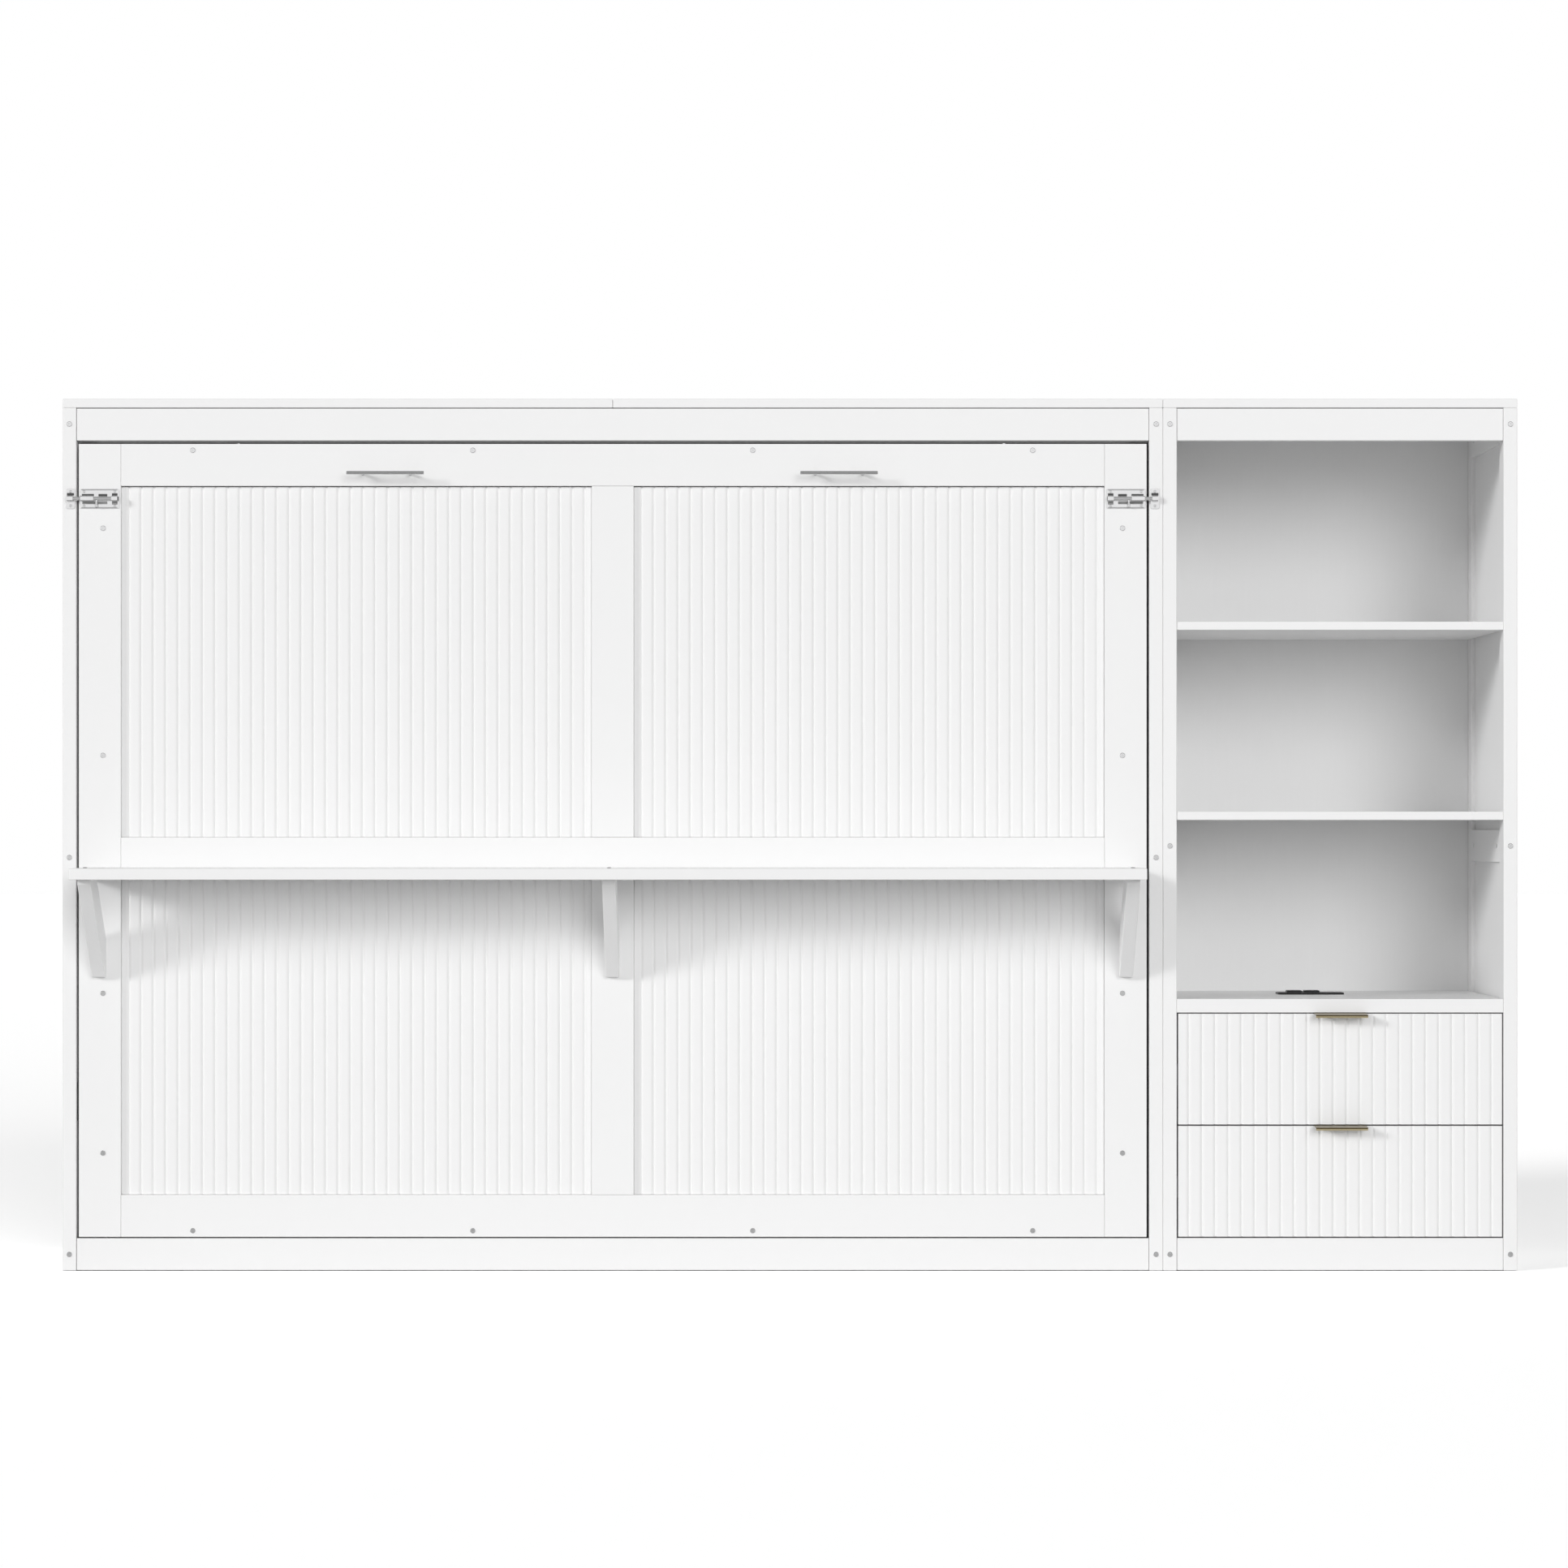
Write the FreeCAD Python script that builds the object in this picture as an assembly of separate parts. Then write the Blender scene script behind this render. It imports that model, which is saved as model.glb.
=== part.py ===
import FreeCAD, Part
import math
import os

# Mattress the bed is made for, and how loosely it lies in the bed.
mattress_length = 2032.0
mattress_width = 1524.0
end_play = 1.0
side_play = 13.5

# Bed box behind the door.
end_rail_thickness = 26.0
long_rail_thickness = 26.0
strut_slot = 36.0
bed_box_depth = 190.0
cleat_width = 30.0
cleat_thickness = 18.0
beam_width = 60.0
slat_count = 13
slat_width = 70.0
slat_thickness = 18.0
slat_end_gap = 1.0
slat_margin = 40.0

# Cabinet frames.
post_width = 28.0
post_depth = 54.0
cabinet_depth = 491.0
apron_height = 66.0
apron_thickness = 22.0
apron_setback = 2.0
top_thickness = 18.0
side_panel_thickness = 12.0
bed_middle_level = 835.0
case_middle_level = 858.5
pivot_rail_height = 120.0
back_rail_thickness = 30.0
back_thickness = 6.0
back_overlap = 6.0
mullion_width = 66.0
joist_width = 28.0

# Door in the bed opening.
door_side_gap = 5.0
door_top_gap = 7.0
door_bottom_gap = 2.0
door_thickness = 28.0
door_member = 85.0
lower_opening = 638.0
panel_recess = 8.0
panel_thickness = 9.0
panel_tongue = 10.0
door_flute_pitch = 24.9
flute_width = 7.0
flute_depth = 2.8

# Shelf on the door, which stands on the floor when the bed is open.
shelf_projection = 250.0
shelf_rise = 1.0
shelf_thickness = 23.0
shelf_inset = 18.0
bracket_inset = 24.0
bracket_thickness = 27.0
bracket_height = 198.0
bracket_reach = 205.0
bracket_lip = 10.0
bracket_toe = 14.0
bracket_door_end = 75.0
bracket_shelf_end = 80.0

# Pivot and gas struts; the strut foot is given from the pivot.
pivot_depth = 92.5
pivot_plate_height = 80.0
pivot_plate_length = 130.0
pivot_plate_setback = 12.0
plate_thickness = 3.0
pin_radius = 8.0
pin_collar_radius = 13.0
pin_collar_length = 4.0
bush_radius = 12.0
bush_flange_radius = 20.0
bush_flange_thickness = 3.0
strut_anchor_depth = 300.0
strut_foot_depth = 30.0
strut_foot_drop = 190.0
strut_plate_size = 56.0
stud_radius = 5.0
stud_nut_radius = 8.0
stud_nut_length = 2.5
eye_radius = 12.0
eye_thickness = 12.0
tang_width = 12.0
tang_thickness = 8.0
tang_length = 22.0
tube_radius = 11.0
tube_reach = 430.0
rod_radius = 4.0
rod_hold = 30.0
rod_bore_depth = 290.0
foot_boss_radius = 9.0

# Handles and barrel bolts on the door.
handle_offset = 457.0
handle_drop = 61.0
handle_length = 156.0
handle_spacing = 96.0
handle_projection = 34.0
handle_bar_radius = 3.5
handle_post_radius = 3.0
latch_drop = 111.0
latch_inset = 2.6
latch_length = 79.0
latch_height = 39.5
latch_sheet = 1.6
latch_axis = 7.0
strap_radius = 6.5
strap_margin = 2.0
front_strap_length = 26.4
rear_strap_length = 12.3
latch_rod_radius = 4.0
latch_rod_tail = 6.4
latch_rod_setback = 1.9
knob_gap = 2.4
knob_radius = 3.2
knob_length = 17.0
keeper_gap = 3.0
keeper_length = 16.9
keeper_height = 41.0
keeper_margin = 2.5

# Bookcase.
case_inside = 660.0
first_bay = 361.5
second_bay = 367.0
case_shelf_thickness = 17.0
case_shelf_setback = 2.0
counter_level = 521.5
counter_thickness = 28.0
case_top_back_rail = 27.0

# Drawers and runners.
drawer_gap = 2.0
drawer_front_thickness = 18.0
drawer_flute_pitch = 26.6
box_board = 12.0
box_back_gap = 13.0
box_height = 150.0
box_lift = 24.0
box_bottom_thickness = 6.0
box_bottom_lift = 10.0
box_bottom_tongue = 6.0
runner_space = 13.0
runner_start = 22.0
runner_back_gap = 3.0
runner_height = 45.0
runner_depth = 9.0
middle_member_shortfall = 10.0
inner_member_shortfall = 12.0
runner_sheet = 1.5
runner_play = 0.4
pull_width = 105.0
pull_sheet = 1.6
pull_hold = 14.0
pull_projection = 34.0
pull_fall = 3.0
pull_lip = 9.0

# Power outlet in the counter.
outlet_offset = 30.0
outlet_setback = 250.0
outlet_width = 138.0
outlet_depth = 60.0
outlet_plate = 4.0
outlet_corner = 8.0
outlet_margin = 7.0
outlet_housing_depth = 34.0
pad_width = 33.0
pad_depth = 38.0
pad_rise = 4.0
pad_start = 20.0
pad_pitch = 35.0
slot_depth = 3.0
blade_offset = 6.35
blade_width = 2.2
blade_length = 8.0
blade_shift = 3.0
earth_shift = 8.0
earth_radius = 2.6
usb_start = 95.0
usb_pitch = 19.0
usb_width = 13.0
usb_height = 6.0

# Wall fixing holes in the top back rail of the bed cabinet.
wall_hole_radius = 3.5
wall_hole_spacing = 1625.6

# Clearances.
hole_clearance = 0.3
running_clearance = 0.08
press_clearance = 0.2
groove_clearance = 0.1
edge_clearance = 0.5
swing_clearance = 1.0
open_pivot_gap = 0.3
cut_overrun = 1.0

# Sizes worked out from those above.
bed_inside_length = mattress_length + 2 * end_play
bed_inside_width = mattress_width + 2 * side_play
door_width = bed_inside_length + 2 * (end_rail_thickness + strut_slot)
door_height = bed_inside_width + 2 * long_rail_thickness
bed_width = door_width + 2 * (door_side_gap + post_width)
case_width = case_inside + 2 * post_width
total_width = bed_width + case_width
door_bottom = apron_height + door_bottom_gap
door_top = door_bottom + door_height
apron_level = door_top + door_top_gap
carcass_height = apron_level + apron_height
back_face = cabinet_depth - back_thickness
back_rail_face = cabinet_depth - back_rail_thickness
front_y = (shelf_projection - cabinet_depth) / 2
bed_left = -total_width / 2
bed_right = bed_left + bed_width
bed_middle = (bed_left + bed_right) / 2
case_left = bed_right
case_right = case_left + case_width
case_middle = (case_left + case_right) / 2
door_left = bed_middle - door_width / 2
door_right = bed_middle + door_width / 2
pivot_level = pivot_depth + shelf_projection
shelf_level = door_bottom + door_member + lower_opening + shelf_rise

along_x = FreeCAD.Vector(1, 0, 0)
along_y = FreeCAD.Vector(0, 1, 0)
along_z = FreeCAD.Vector(0, 0, 1)

nodes = {}


# Depths are counted from the front of the posts; a span is a pair of limits.
def point(x, depth, z):
    return FreeCAD.Vector(x, front_y + depth, z)


def block(x_span, depth_span, z_span):
    size = [b - a for a, b in (x_span, depth_span, z_span)]
    return Part.makeBox(*size, point(x_span[0], depth_span[0], z_span[0]))


def rod(start, direction, radius, length):
    return Part.makeCylinder(radius, length, start, direction)


def prism(corners, sweep):
    wire = Part.makePolygon(corners + corners[:1])
    return Part.Face(wire).extrude(sweep)


def side_prism(x_span, outline):
    corners = [point(x_span[0], depth, z) for depth, z in outline]
    return prism(corners, along_x * (x_span[1] - x_span[0]))


def mirrored(shape):
    return shape.mirror(FreeCAD.Vector(bed_middle, 0, 0), along_x)


def both(shape):
    return [shape, mirrored(shape)]


# Board standing upright with V grooves along its front face.
def fluted_board(x_span, depth_span, z_span, shown_width, pitch):
    face, back = depth_span
    middle = sum(x_span) / 2
    count = int(shown_width / pitch)
    outline = [(x_span[0], face)]
    for i in range(count):
        centre = middle + (i - (count - 1) / 2) * pitch
        outline.append((centre - flute_width / 2, face))
        outline.append((centre, face + flute_depth))
        outline.append((centre + flute_width / 2, face))
    outline += [(x_span[1], face), (x_span[1], back), (x_span[0], back)]
    corners = [point(x, depth, z_span[0]) for x, depth in outline]
    return prism(corners, along_z * (z_span[1] - z_span[0]))


# Posts, rails and panels of the two sides of a cabinet.
def sides(cabinet, x_span, rails):
    between = (post_depth, cabinet_depth - post_depth)
    for outer, inward in ((x_span[0], 1), (x_span[1], -1)):
        inner = outer + inward * post_width
        across = (min(outer, inner), max(outer, inner))
        thin = level_span(sum(across) / 2, side_panel_thickness)
        nodes[cabinet + "_front_posts"].append(block(across, (0, post_depth), (0, carcass_height)))
        nodes[cabinet + "_back_posts"].append(block(across, (between[1], cabinet_depth), (0, carcass_height)))
        for span in rails:
            nodes[cabinet + "_side_rails"].append(block(across, between, span))
        for below, above in zip(rails, rails[1:]):
            nodes[cabinet + "_side_panels"].append(block(thin, between, (below[1], above[0])))


def level_span(middle, height):
    return (middle - height / 2, middle + height / 2)


bottom_rail = (0, apron_height)
top_rail = (apron_level, carcass_height)
for cabinet in ("bed", "bookcase"):
    for piece in ("front_posts", "back_posts", "side_rails", "side_panels"):
        nodes[cabinet + "_" + piece] = []

pivot_rail = level_span(pivot_level, pivot_rail_height)
bed_middle_rail = level_span(bed_middle_level, apron_height)
case_middle_rail = level_span(case_middle_level, apron_height)
sides("bed", (bed_left, bed_right), (bottom_rail, pivot_rail, bed_middle_rail, top_rail))
sides("bookcase", (case_left, case_right), (bottom_rail, case_middle_rail, top_rail))

# Tops, aprons, back rails and backs.
bed_open = (bed_left + post_width, bed_right - post_width)
case_open = (case_left + post_width, case_right - post_width)
whole_depth = (0, cabinet_depth)
board_span = (carcass_height, carcass_height + top_thickness)
nodes["bed_top_panels"] = [block((bed_left, bed_middle), whole_depth, board_span),
                           block((bed_middle, bed_right), whole_depth, board_span)]
nodes["bookcase_top_panel"] = [block((case_left, case_right), whole_depth, board_span)]

apron_span = (apron_setback, apron_setback + apron_thickness)
nodes["bed_top_apron"] = [block(bed_open, apron_span, top_rail)]
nodes["bookcase_aprons"] = [block(case_open, apron_span, span) for span in (bottom_rail, top_rail)]

# The lower edge of the door swings back over the bottom apron, so the apron's top falls away behind.
swing_radius = math.hypot(pivot_depth, pivot_level - door_bottom) + swing_clearance
bevel_drop = pivot_level - math.sqrt(swing_radius ** 2 - (pivot_depth - apron_span[1]) ** 2)
apron_face, apron_back = apron_span
bevel_outline = [(apron_face, 0), (apron_back, 0), (apron_back, bevel_drop), (apron_face, apron_height)]
nodes["bed_bottom_apron"] = [side_prism(bed_open, bevel_outline)]
joist_x = level_span(bed_middle, joist_width)
nodes["bed_top_joist"] = [block(joist_x, (apron_back, back_rail_face), top_rail)]


def rebate(x_span, z_span):
    wide = (x_span[0] - edge_clearance, x_span[1] + edge_clearance)
    tall = (z_span[0] - edge_clearance, z_span[1] + edge_clearance)
    return block(wide, (back_face, cabinet_depth), tall)


back_z = (apron_height - back_overlap, apron_level + back_overlap)
back_x = (bed_open[0] - back_overlap, bed_open[1] + back_overlap)
back_hole = rebate(back_x, back_z)
back_rail_span = (back_rail_face, cabinet_depth)
mullion = level_span(bed_middle, mullion_width)
bed_back_rails = [block(bed_open, back_rail_span, span).cut(back_hole) for span in (bottom_rail, top_rail)]
for way in (-1, 1):
    start = point(bed_middle + way * wall_hole_spacing / 2, back_rail_face - cut_overrun, sum(top_rail) / 2)
    wall_hole = rod(start, along_y, wall_hole_radius, back_rail_thickness + 2 * cut_overrun)
    bed_back_rails[1] = bed_back_rails[1].cut(wall_hole)
bed_back_rails.append(block(mullion, (back_rail_face, back_face), (apron_height, apron_level)))
nodes["bed_back_rails"] = bed_back_rails
nodes["bed_back_panels"] = [block((back_x[0], bed_middle), (back_face, cabinet_depth), back_z),
                            block((bed_middle, back_x[1]), (back_face, cabinet_depth), back_z)]
nodes["bed_back_posts"] = [post.cut(back_hole) for post in nodes["bed_back_posts"]]

case_back_z = (apron_height - back_overlap, carcass_height - case_top_back_rail + back_overlap)
case_back_x = (case_open[0] - back_overlap, case_open[1] + back_overlap)
case_hole = rebate(case_back_x, case_back_z)
case_back_spans = (bottom_rail, (counter_level - apron_height, counter_level),
                   (carcass_height - case_top_back_rail, carcass_height))
nodes["bookcase_back_rails"] = [block(case_open, back_rail_span, span).cut(case_hole)
                                for span in case_back_spans]
nodes["bookcase_back_panel"] = [block(case_back_x, (back_face, cabinet_depth), case_back_z)]
nodes["bookcase_back_posts"] = [post.cut(case_hole) for post in nodes["bookcase_back_posts"]]

# Door frame with fluted panels in grooves.
door_span = (0, door_thickness)
panel_span = (panel_recess, panel_recess + panel_thickness)
opening_x = ((door_left + door_member, bed_middle - door_member / 2),
             (bed_middle + door_member / 2, door_right - door_member))
lower_z = (door_bottom + door_member, door_bottom + door_member + lower_opening)
upper_z = (lower_z[1] + door_member, door_top - door_member)
pockets = []
panels = []
for x_span in opening_x:
    for z_span in (lower_z, upper_z):
        reach_x = (x_span[0] - panel_tongue, x_span[1] + panel_tongue)
        reach_z = (z_span[0] - panel_tongue, z_span[1] + panel_tongue)
        panels.append(fluted_board(reach_x, panel_span, reach_z, x_span[1] - x_span[0], door_flute_pitch))
        pockets.append(block((reach_x[0] - edge_clearance, reach_x[1] + edge_clearance),
                             (panel_span[0] - groove_clearance, panel_span[1] + groove_clearance),
                             (reach_z[0] - edge_clearance, reach_z[1] + edge_clearance)))
nodes["door_panels"] = panels

between_stiles = (door_left + door_member, door_right - door_member)
door_members = {
    "door_stiles": [((door_left, door_left + door_member), (door_bottom, door_top)),
                    ((door_right - door_member, door_right), (door_bottom, door_top))],
    "door_top_rail": [(between_stiles, (upper_z[1], door_top))],
    "door_middle_rail": [(between_stiles, (lower_z[1], upper_z[0]))],
    "door_bottom_rail": [(between_stiles, (door_bottom, lower_z[0]))],
    "door_centre_stiles": [(level_span(bed_middle, door_member), lower_z),
                           (level_span(bed_middle, door_member), upper_z)],
}
for name, spans in door_members.items():
    nodes[name] = [block(x_span, door_span, z_span).cut(pockets) for x_span, z_span in spans]

# Bed box: rails, cleats, centre beam and slats.
box_span = (door_thickness, bed_box_depth)
inner_x = (bed_middle - bed_inside_length / 2, bed_middle + bed_inside_length / 2)
inner_z = (door_bottom + long_rail_thickness, door_top - long_rail_thickness)
outer_x = (inner_x[0] - end_rail_thickness, inner_x[1] + end_rail_thickness)
nodes["bed_long_rails"] = [block(outer_x, box_span, span)
                           for span in ((door_bottom, inner_z[0]), (inner_z[1], door_top))]
pivot_bore = rod(point(outer_x[0] - cut_overrun, pivot_depth, pivot_level), along_x,
                 bush_radius + press_clearance, end_rail_thickness + 2 * cut_overrun)
nodes["bed_end_rails"] = both(block((outer_x[0], inner_x[0]), box_span, inner_z).cut(pivot_bore))

cleat_span = (door_thickness, door_thickness + cleat_thickness)
middle_rail_level = (lower_z[1] + upper_z[0]) / 2
nodes["slat_cleats"] = [block(inner_x, cleat_span, span) for span in (
    (inner_z[0], inner_z[0] + cleat_width), (inner_z[1] - cleat_width, inner_z[1]),
    level_span(middle_rail_level, beam_width))]
slat_span = (cleat_span[1], cleat_span[1] + slat_thickness)
slat_z = (inner_z[0] + slat_end_gap, inner_z[1] - slat_end_gap)
slat_pitch = (bed_inside_length - 2 * slat_margin - slat_width) / (slat_count - 1)
nodes["bed_slats"] = []
for i in range(slat_count):
    start = inner_x[0] + slat_margin + i * slat_pitch
    nodes["bed_slats"].append(block((start, start + slat_width), slat_span, slat_z))

# Front shelf on diagonal braces.
shelf_x = (door_left + shelf_inset, door_right - shelf_inset)
nodes["front_shelf"] = [block(shelf_x, (-shelf_projection, 0), (shelf_level, shelf_level + shelf_thickness))]
bracket_foot = shelf_level - bracket_height
bracket_outline = [(0, bracket_foot), (-bracket_toe, bracket_foot),
                   (-bracket_reach, shelf_level - bracket_lip), (-bracket_reach, shelf_level),
                   (bracket_shelf_end - bracket_reach, shelf_level), (0, bracket_foot + bracket_door_end)]
nodes["shelf_brackets"] = [side_prism(level_span(middle, bracket_thickness), bracket_outline)
                           for middle in (shelf_x[0] + bracket_inset, bed_middle, shelf_x[1] - bracket_inset)]

# Pull handles.
handles = []
handle_level = door_top - handle_drop
for way in (-1, 1):
    middle = bed_middle + way * handle_offset
    handle = rod(point(middle - handle_length / 2, -handle_projection, handle_level), along_x,
                 handle_bar_radius, handle_length)
    for side in (-1, 1):
        foot = point(middle + side * handle_spacing / 2, 0, handle_level)
        handle = handle.fuse(rod(foot, -along_y, handle_post_radius, handle_projection))
    handles.append(handle.removeSplitter())
nodes["pull_handles"] = handles


latch_level = door_top - latch_drop
plate_x = (door_left + latch_inset, door_left + latch_inset + latch_length)
front_strap = (plate_x[0] + strap_margin, plate_x[0] + strap_margin + front_strap_length)
rear_strap = (plate_x[1] - strap_margin - rear_strap_length, plate_x[1] - strap_margin)
keeper_end = bed_left + post_width - keeper_gap
keeper_x = (keeper_end - keeper_length, keeper_end)
latch_rod_x = (keeper_x[0] + latch_rod_setback, rear_strap[0] + latch_rod_tail)
knob_x = front_strap[1] + knob_gap + knob_radius


# Pressed strap: an arch standing on its sheet.
def strap(x_span):
    arch = rod(point(x_span[0], -latch_axis, latch_level), along_x, strap_radius, x_span[1] - x_span[0])
    legs = block(x_span, (-latch_axis, 0), level_span(latch_level, 2 * strap_radius))
    before_door = block(x_span, (-latch_axis - strap_radius, 0), level_span(latch_level, 2 * strap_radius))
    return arch.fuse(legs).common(before_door)


def latch_part(x_span, height, strap_spans):
    sheet = block(x_span, (-latch_sheet, 0), level_span(latch_level, height))
    return sheet.fuse([strap(span) for span in strap_spans]).cut(latch_bore).removeSplitter()


latch_bore = rod(point(keeper_x[0], -latch_axis, latch_level), along_x, latch_rod_radius + hole_clearance,
                 plate_x[1] - keeper_x[0])
nodes["bolt_plates"] = both(latch_part(plate_x, latch_height, [front_strap, rear_strap]))
keeper_strap = (keeper_x[0] + keeper_margin, keeper_x[1] - keeper_margin)
nodes["bolt_keepers"] = both(latch_part(keeper_x, keeper_height, [keeper_strap]))

latch_rod = rod(point(latch_rod_x[0], -latch_axis, latch_level), along_x, latch_rod_radius,
                latch_rod_x[1] - latch_rod_x[0])
knob = rod(point(knob_x, -latch_axis, latch_level), -along_z, knob_radius, knob_length)
latch_rod = latch_rod.fuse(knob).removeSplitter()
nodes["left_bolt_rod"] = [latch_rod]
nodes["right_bolt_rod"] = [mirrored(latch_rod)]

# Pivots: plate and pin on the cabinet, flanged bush in the end rail.
side_face = bed_open[0]
rail_face = outer_x[0]
pivot = point(side_face, pivot_depth, pivot_level)
plate_span = (pivot_plate_setback, pivot_plate_setback + pivot_plate_length)
plate_z = level_span(pivot_level, pivot_plate_height)
plate = block((side_face, side_face + plate_thickness), plate_span, plate_z)
plate = plate.cut(rod(pivot, along_x, pin_radius + running_clearance, plate_thickness))
nodes["pivot_plates"] = both(plate)
pin = rod(pivot, along_x, pin_radius, inner_x[0] - side_face)
collar = rod(pivot + along_x * plate_thickness, along_x, pin_collar_radius, pin_collar_length)
nodes["pivot_pins"] = both(pin.fuse(collar))
bush_start = point(rail_face, pivot_depth, pivot_level)
sleeve = rod(bush_start, along_x, bush_radius, end_rail_thickness)
flange = rod(bush_start, -along_x, bush_flange_radius, bush_flange_thickness)
pin_bore = rod(pivot, along_x, pin_radius + running_clearance, inner_x[0] - side_face + cut_overrun)
nodes["pivot_bushes"] = both(sleeve.fuse(flange).cut(pin_bore))

# Gas struts: cylinder on the cabinet's anchor, rod ending at the bed's bracket.
strut_x = (side_face + rail_face) / 2
anchor = FreeCAD.Vector(strut_x, front_y + strut_anchor_depth, bed_middle_level)
foot = FreeCAD.Vector(strut_x, front_y + pivot_depth + strut_foot_depth, pivot_level - strut_foot_drop)
strut_length = anchor.distanceToPoint(foot)
strut_way = (foot - anchor).normalize()
eye_start = along_x * (-eye_thickness / 2)


def strut_plate(x_span, centre):
    depth = centre.y - front_y
    return block(x_span, level_span(depth, strut_plate_size), level_span(centre.z, strut_plate_size))


stud_start = FreeCAD.Vector(side_face, anchor.y, anchor.z)
stud_end = strut_x + eye_thickness / 2 + hole_clearance
stud = rod(stud_start, along_x, stud_radius, stud_end + stud_nut_length - side_face)
nut_angles = [math.radians(60 * i) for i in range(6)]
nut_corners = [FreeCAD.Vector(stud_end, anchor.y + stud_nut_radius * math.cos(angle),
                              anchor.z + stud_nut_radius * math.sin(angle)) for angle in nut_angles]
stud_nut = prism(nut_corners, along_x * stud_nut_length)
anchor_plate = strut_plate((side_face, side_face + plate_thickness), anchor)
nodes["strut_anchors"] = both(anchor_plate.fuse([stud, stud_nut]))

eye = rod(anchor + eye_start, along_x, eye_radius, eye_thickness)
tang_side = along_x.cross(strut_way) * (tang_width / 2)
tang_start = anchor - along_x * (tang_thickness / 2)
tang_end = tang_start + strut_way * (tang_length + cut_overrun)
tang = prism([tang_start - tang_side, tang_start + tang_side, tang_end + tang_side, tang_end - tang_side],
             along_x * tang_thickness)
tube = rod(anchor + strut_way * tang_length, strut_way, tube_radius, tube_reach - tang_length)
eye_bore = rod(anchor + eye_start * 2, along_x, stud_radius + running_clearance, 2 * eye_thickness)
rod_bore = rod(anchor + strut_way * (tube_reach - rod_bore_depth), strut_way, rod_radius + running_clearance,
               rod_bore_depth)
nodes["strut_cylinders"] = both(eye.fuse([tang, tube]).cut([eye_bore, rod_bore]))

rod_start = tube_reach - rod_hold
strut_rod = rod(anchor + strut_way * rod_start, strut_way, rod_radius, strut_length - rod_start)
nodes["strut_rods"] = both(strut_rod.fuse(rod(foot + eye_start, along_x, eye_radius, eye_thickness)))

foot_plate = strut_plate((rail_face - plate_thickness, rail_face), foot)
boss_start = strut_x + eye_thickness / 2 + open_pivot_gap
boss = rod(FreeCAD.Vector(boss_start, foot.y, foot.z), along_x, foot_boss_radius,
           rail_face - plate_thickness - boss_start)
nodes["strut_brackets"] = both(foot_plate.fuse(boss))

# Bookcase shelves, counter and outlet.
counter_top = counter_level + counter_thickness
first_shelf = counter_top + first_bay
second_shelf = first_shelf + case_shelf_thickness + second_bay
shelf_span = (case_shelf_setback, back_face)
nodes["bookcase_shelves"] = [block(case_open, shelf_span, (level, level + case_shelf_thickness))
                             for level in (first_shelf, second_shelf)]
outlet_left = case_middle - outlet_offset - outlet_width / 2
outlet_span = (outlet_setback, outlet_setback + outlet_depth)
housing_x = (outlet_left + outlet_margin, outlet_left + outlet_width - outlet_margin)
housing_span = (outlet_span[0] + outlet_margin, outlet_span[1] - outlet_margin)
cutout = block((housing_x[0] - edge_clearance, housing_x[1] + edge_clearance),
               (housing_span[0] - edge_clearance, housing_span[1] + edge_clearance),
               (counter_level, counter_top))
nodes["counter"] = [block(case_open, (0, back_face), (counter_level, counter_top)).cut(cutout)]

cover_top = counter_top + outlet_plate
cover = block((outlet_left, outlet_left + outlet_width), outlet_span, (counter_top, cover_top))
upright = [edge for edge in cover.Edges if edge.BoundBox.ZLength > outlet_plate / 2]
outlet = cover.makeFillet(outlet_corner, upright)
outlet = outlet.fuse(block(housing_x, housing_span, (counter_top - outlet_housing_depth, counter_top)))
outlet_middle = sum(outlet_span) / 2
pad_top = cover_top + pad_rise
blade_z = (pad_top - slot_depth, pad_top)
blade_span = level_span(outlet_middle - blade_shift, blade_length)
slots = []
for i in range(2):
    pad_x = outlet_left + pad_start + i * pad_pitch
    pad = block((pad_x, pad_x + pad_width), level_span(outlet_middle, pad_depth), (counter_top, pad_top))
    outlet = outlet.fuse(pad)
    middle = pad_x + pad_width / 2
    for side in (-1, 1):
        slots.append(block(level_span(middle + side * blade_offset, blade_width), blade_span, blade_z))
    earth = point(middle, outlet_middle + earth_shift, blade_z[0])
    slots.append(rod(earth, along_z, earth_radius, slot_depth))
    usb_x = outlet_left + usb_start + i * usb_pitch
    slots.append(block((usb_x, usb_x + usb_width), level_span(outlet_middle, usb_height),
                       (cover_top - slot_depth, cover_top)))
nodes["power_outlet"] = [outlet.cut(slots).removeSplitter()]


# Channel lying along the depth; outline gives distance from the cabinet side and height from the middle.
def channel(outline, level, length):
    corners = [FreeCAD.Vector(case_open[0] + out, front_y + runner_start, level + up) for out, up in outline]
    left_piece = prism(corners, along_y * length)
    right_piece = left_piece.mirror(FreeCAD.Vector(case_middle, 0, 0), along_x)
    return [left_piece, right_piece]


half = runner_height / 2
middle_half = half - runner_sheet - runner_play
inner_half = middle_half - runner_sheet - runner_play
middle_start = runner_sheet + runner_play
middle_end = runner_depth - runner_sheet - runner_play
inner_start = middle_start + runner_sheet + runner_play
lip = inner_half + runner_play


def channel_outline(web_out, web_in, lip_out, outside, inside, lip_reach):
    upper = [(web_out, outside), (lip_out, outside)]
    if lip_reach:
        lip_in = lip_out - runner_sheet
        upper += [(lip_out, lip_reach), (lip_in, lip_reach), (lip_in, inside)]
    else:
        upper += [(lip_out, inside)]
    upper += [(web_in, inside)]
    return upper + [(out, -up) for out, up in reversed(upper)]


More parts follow.
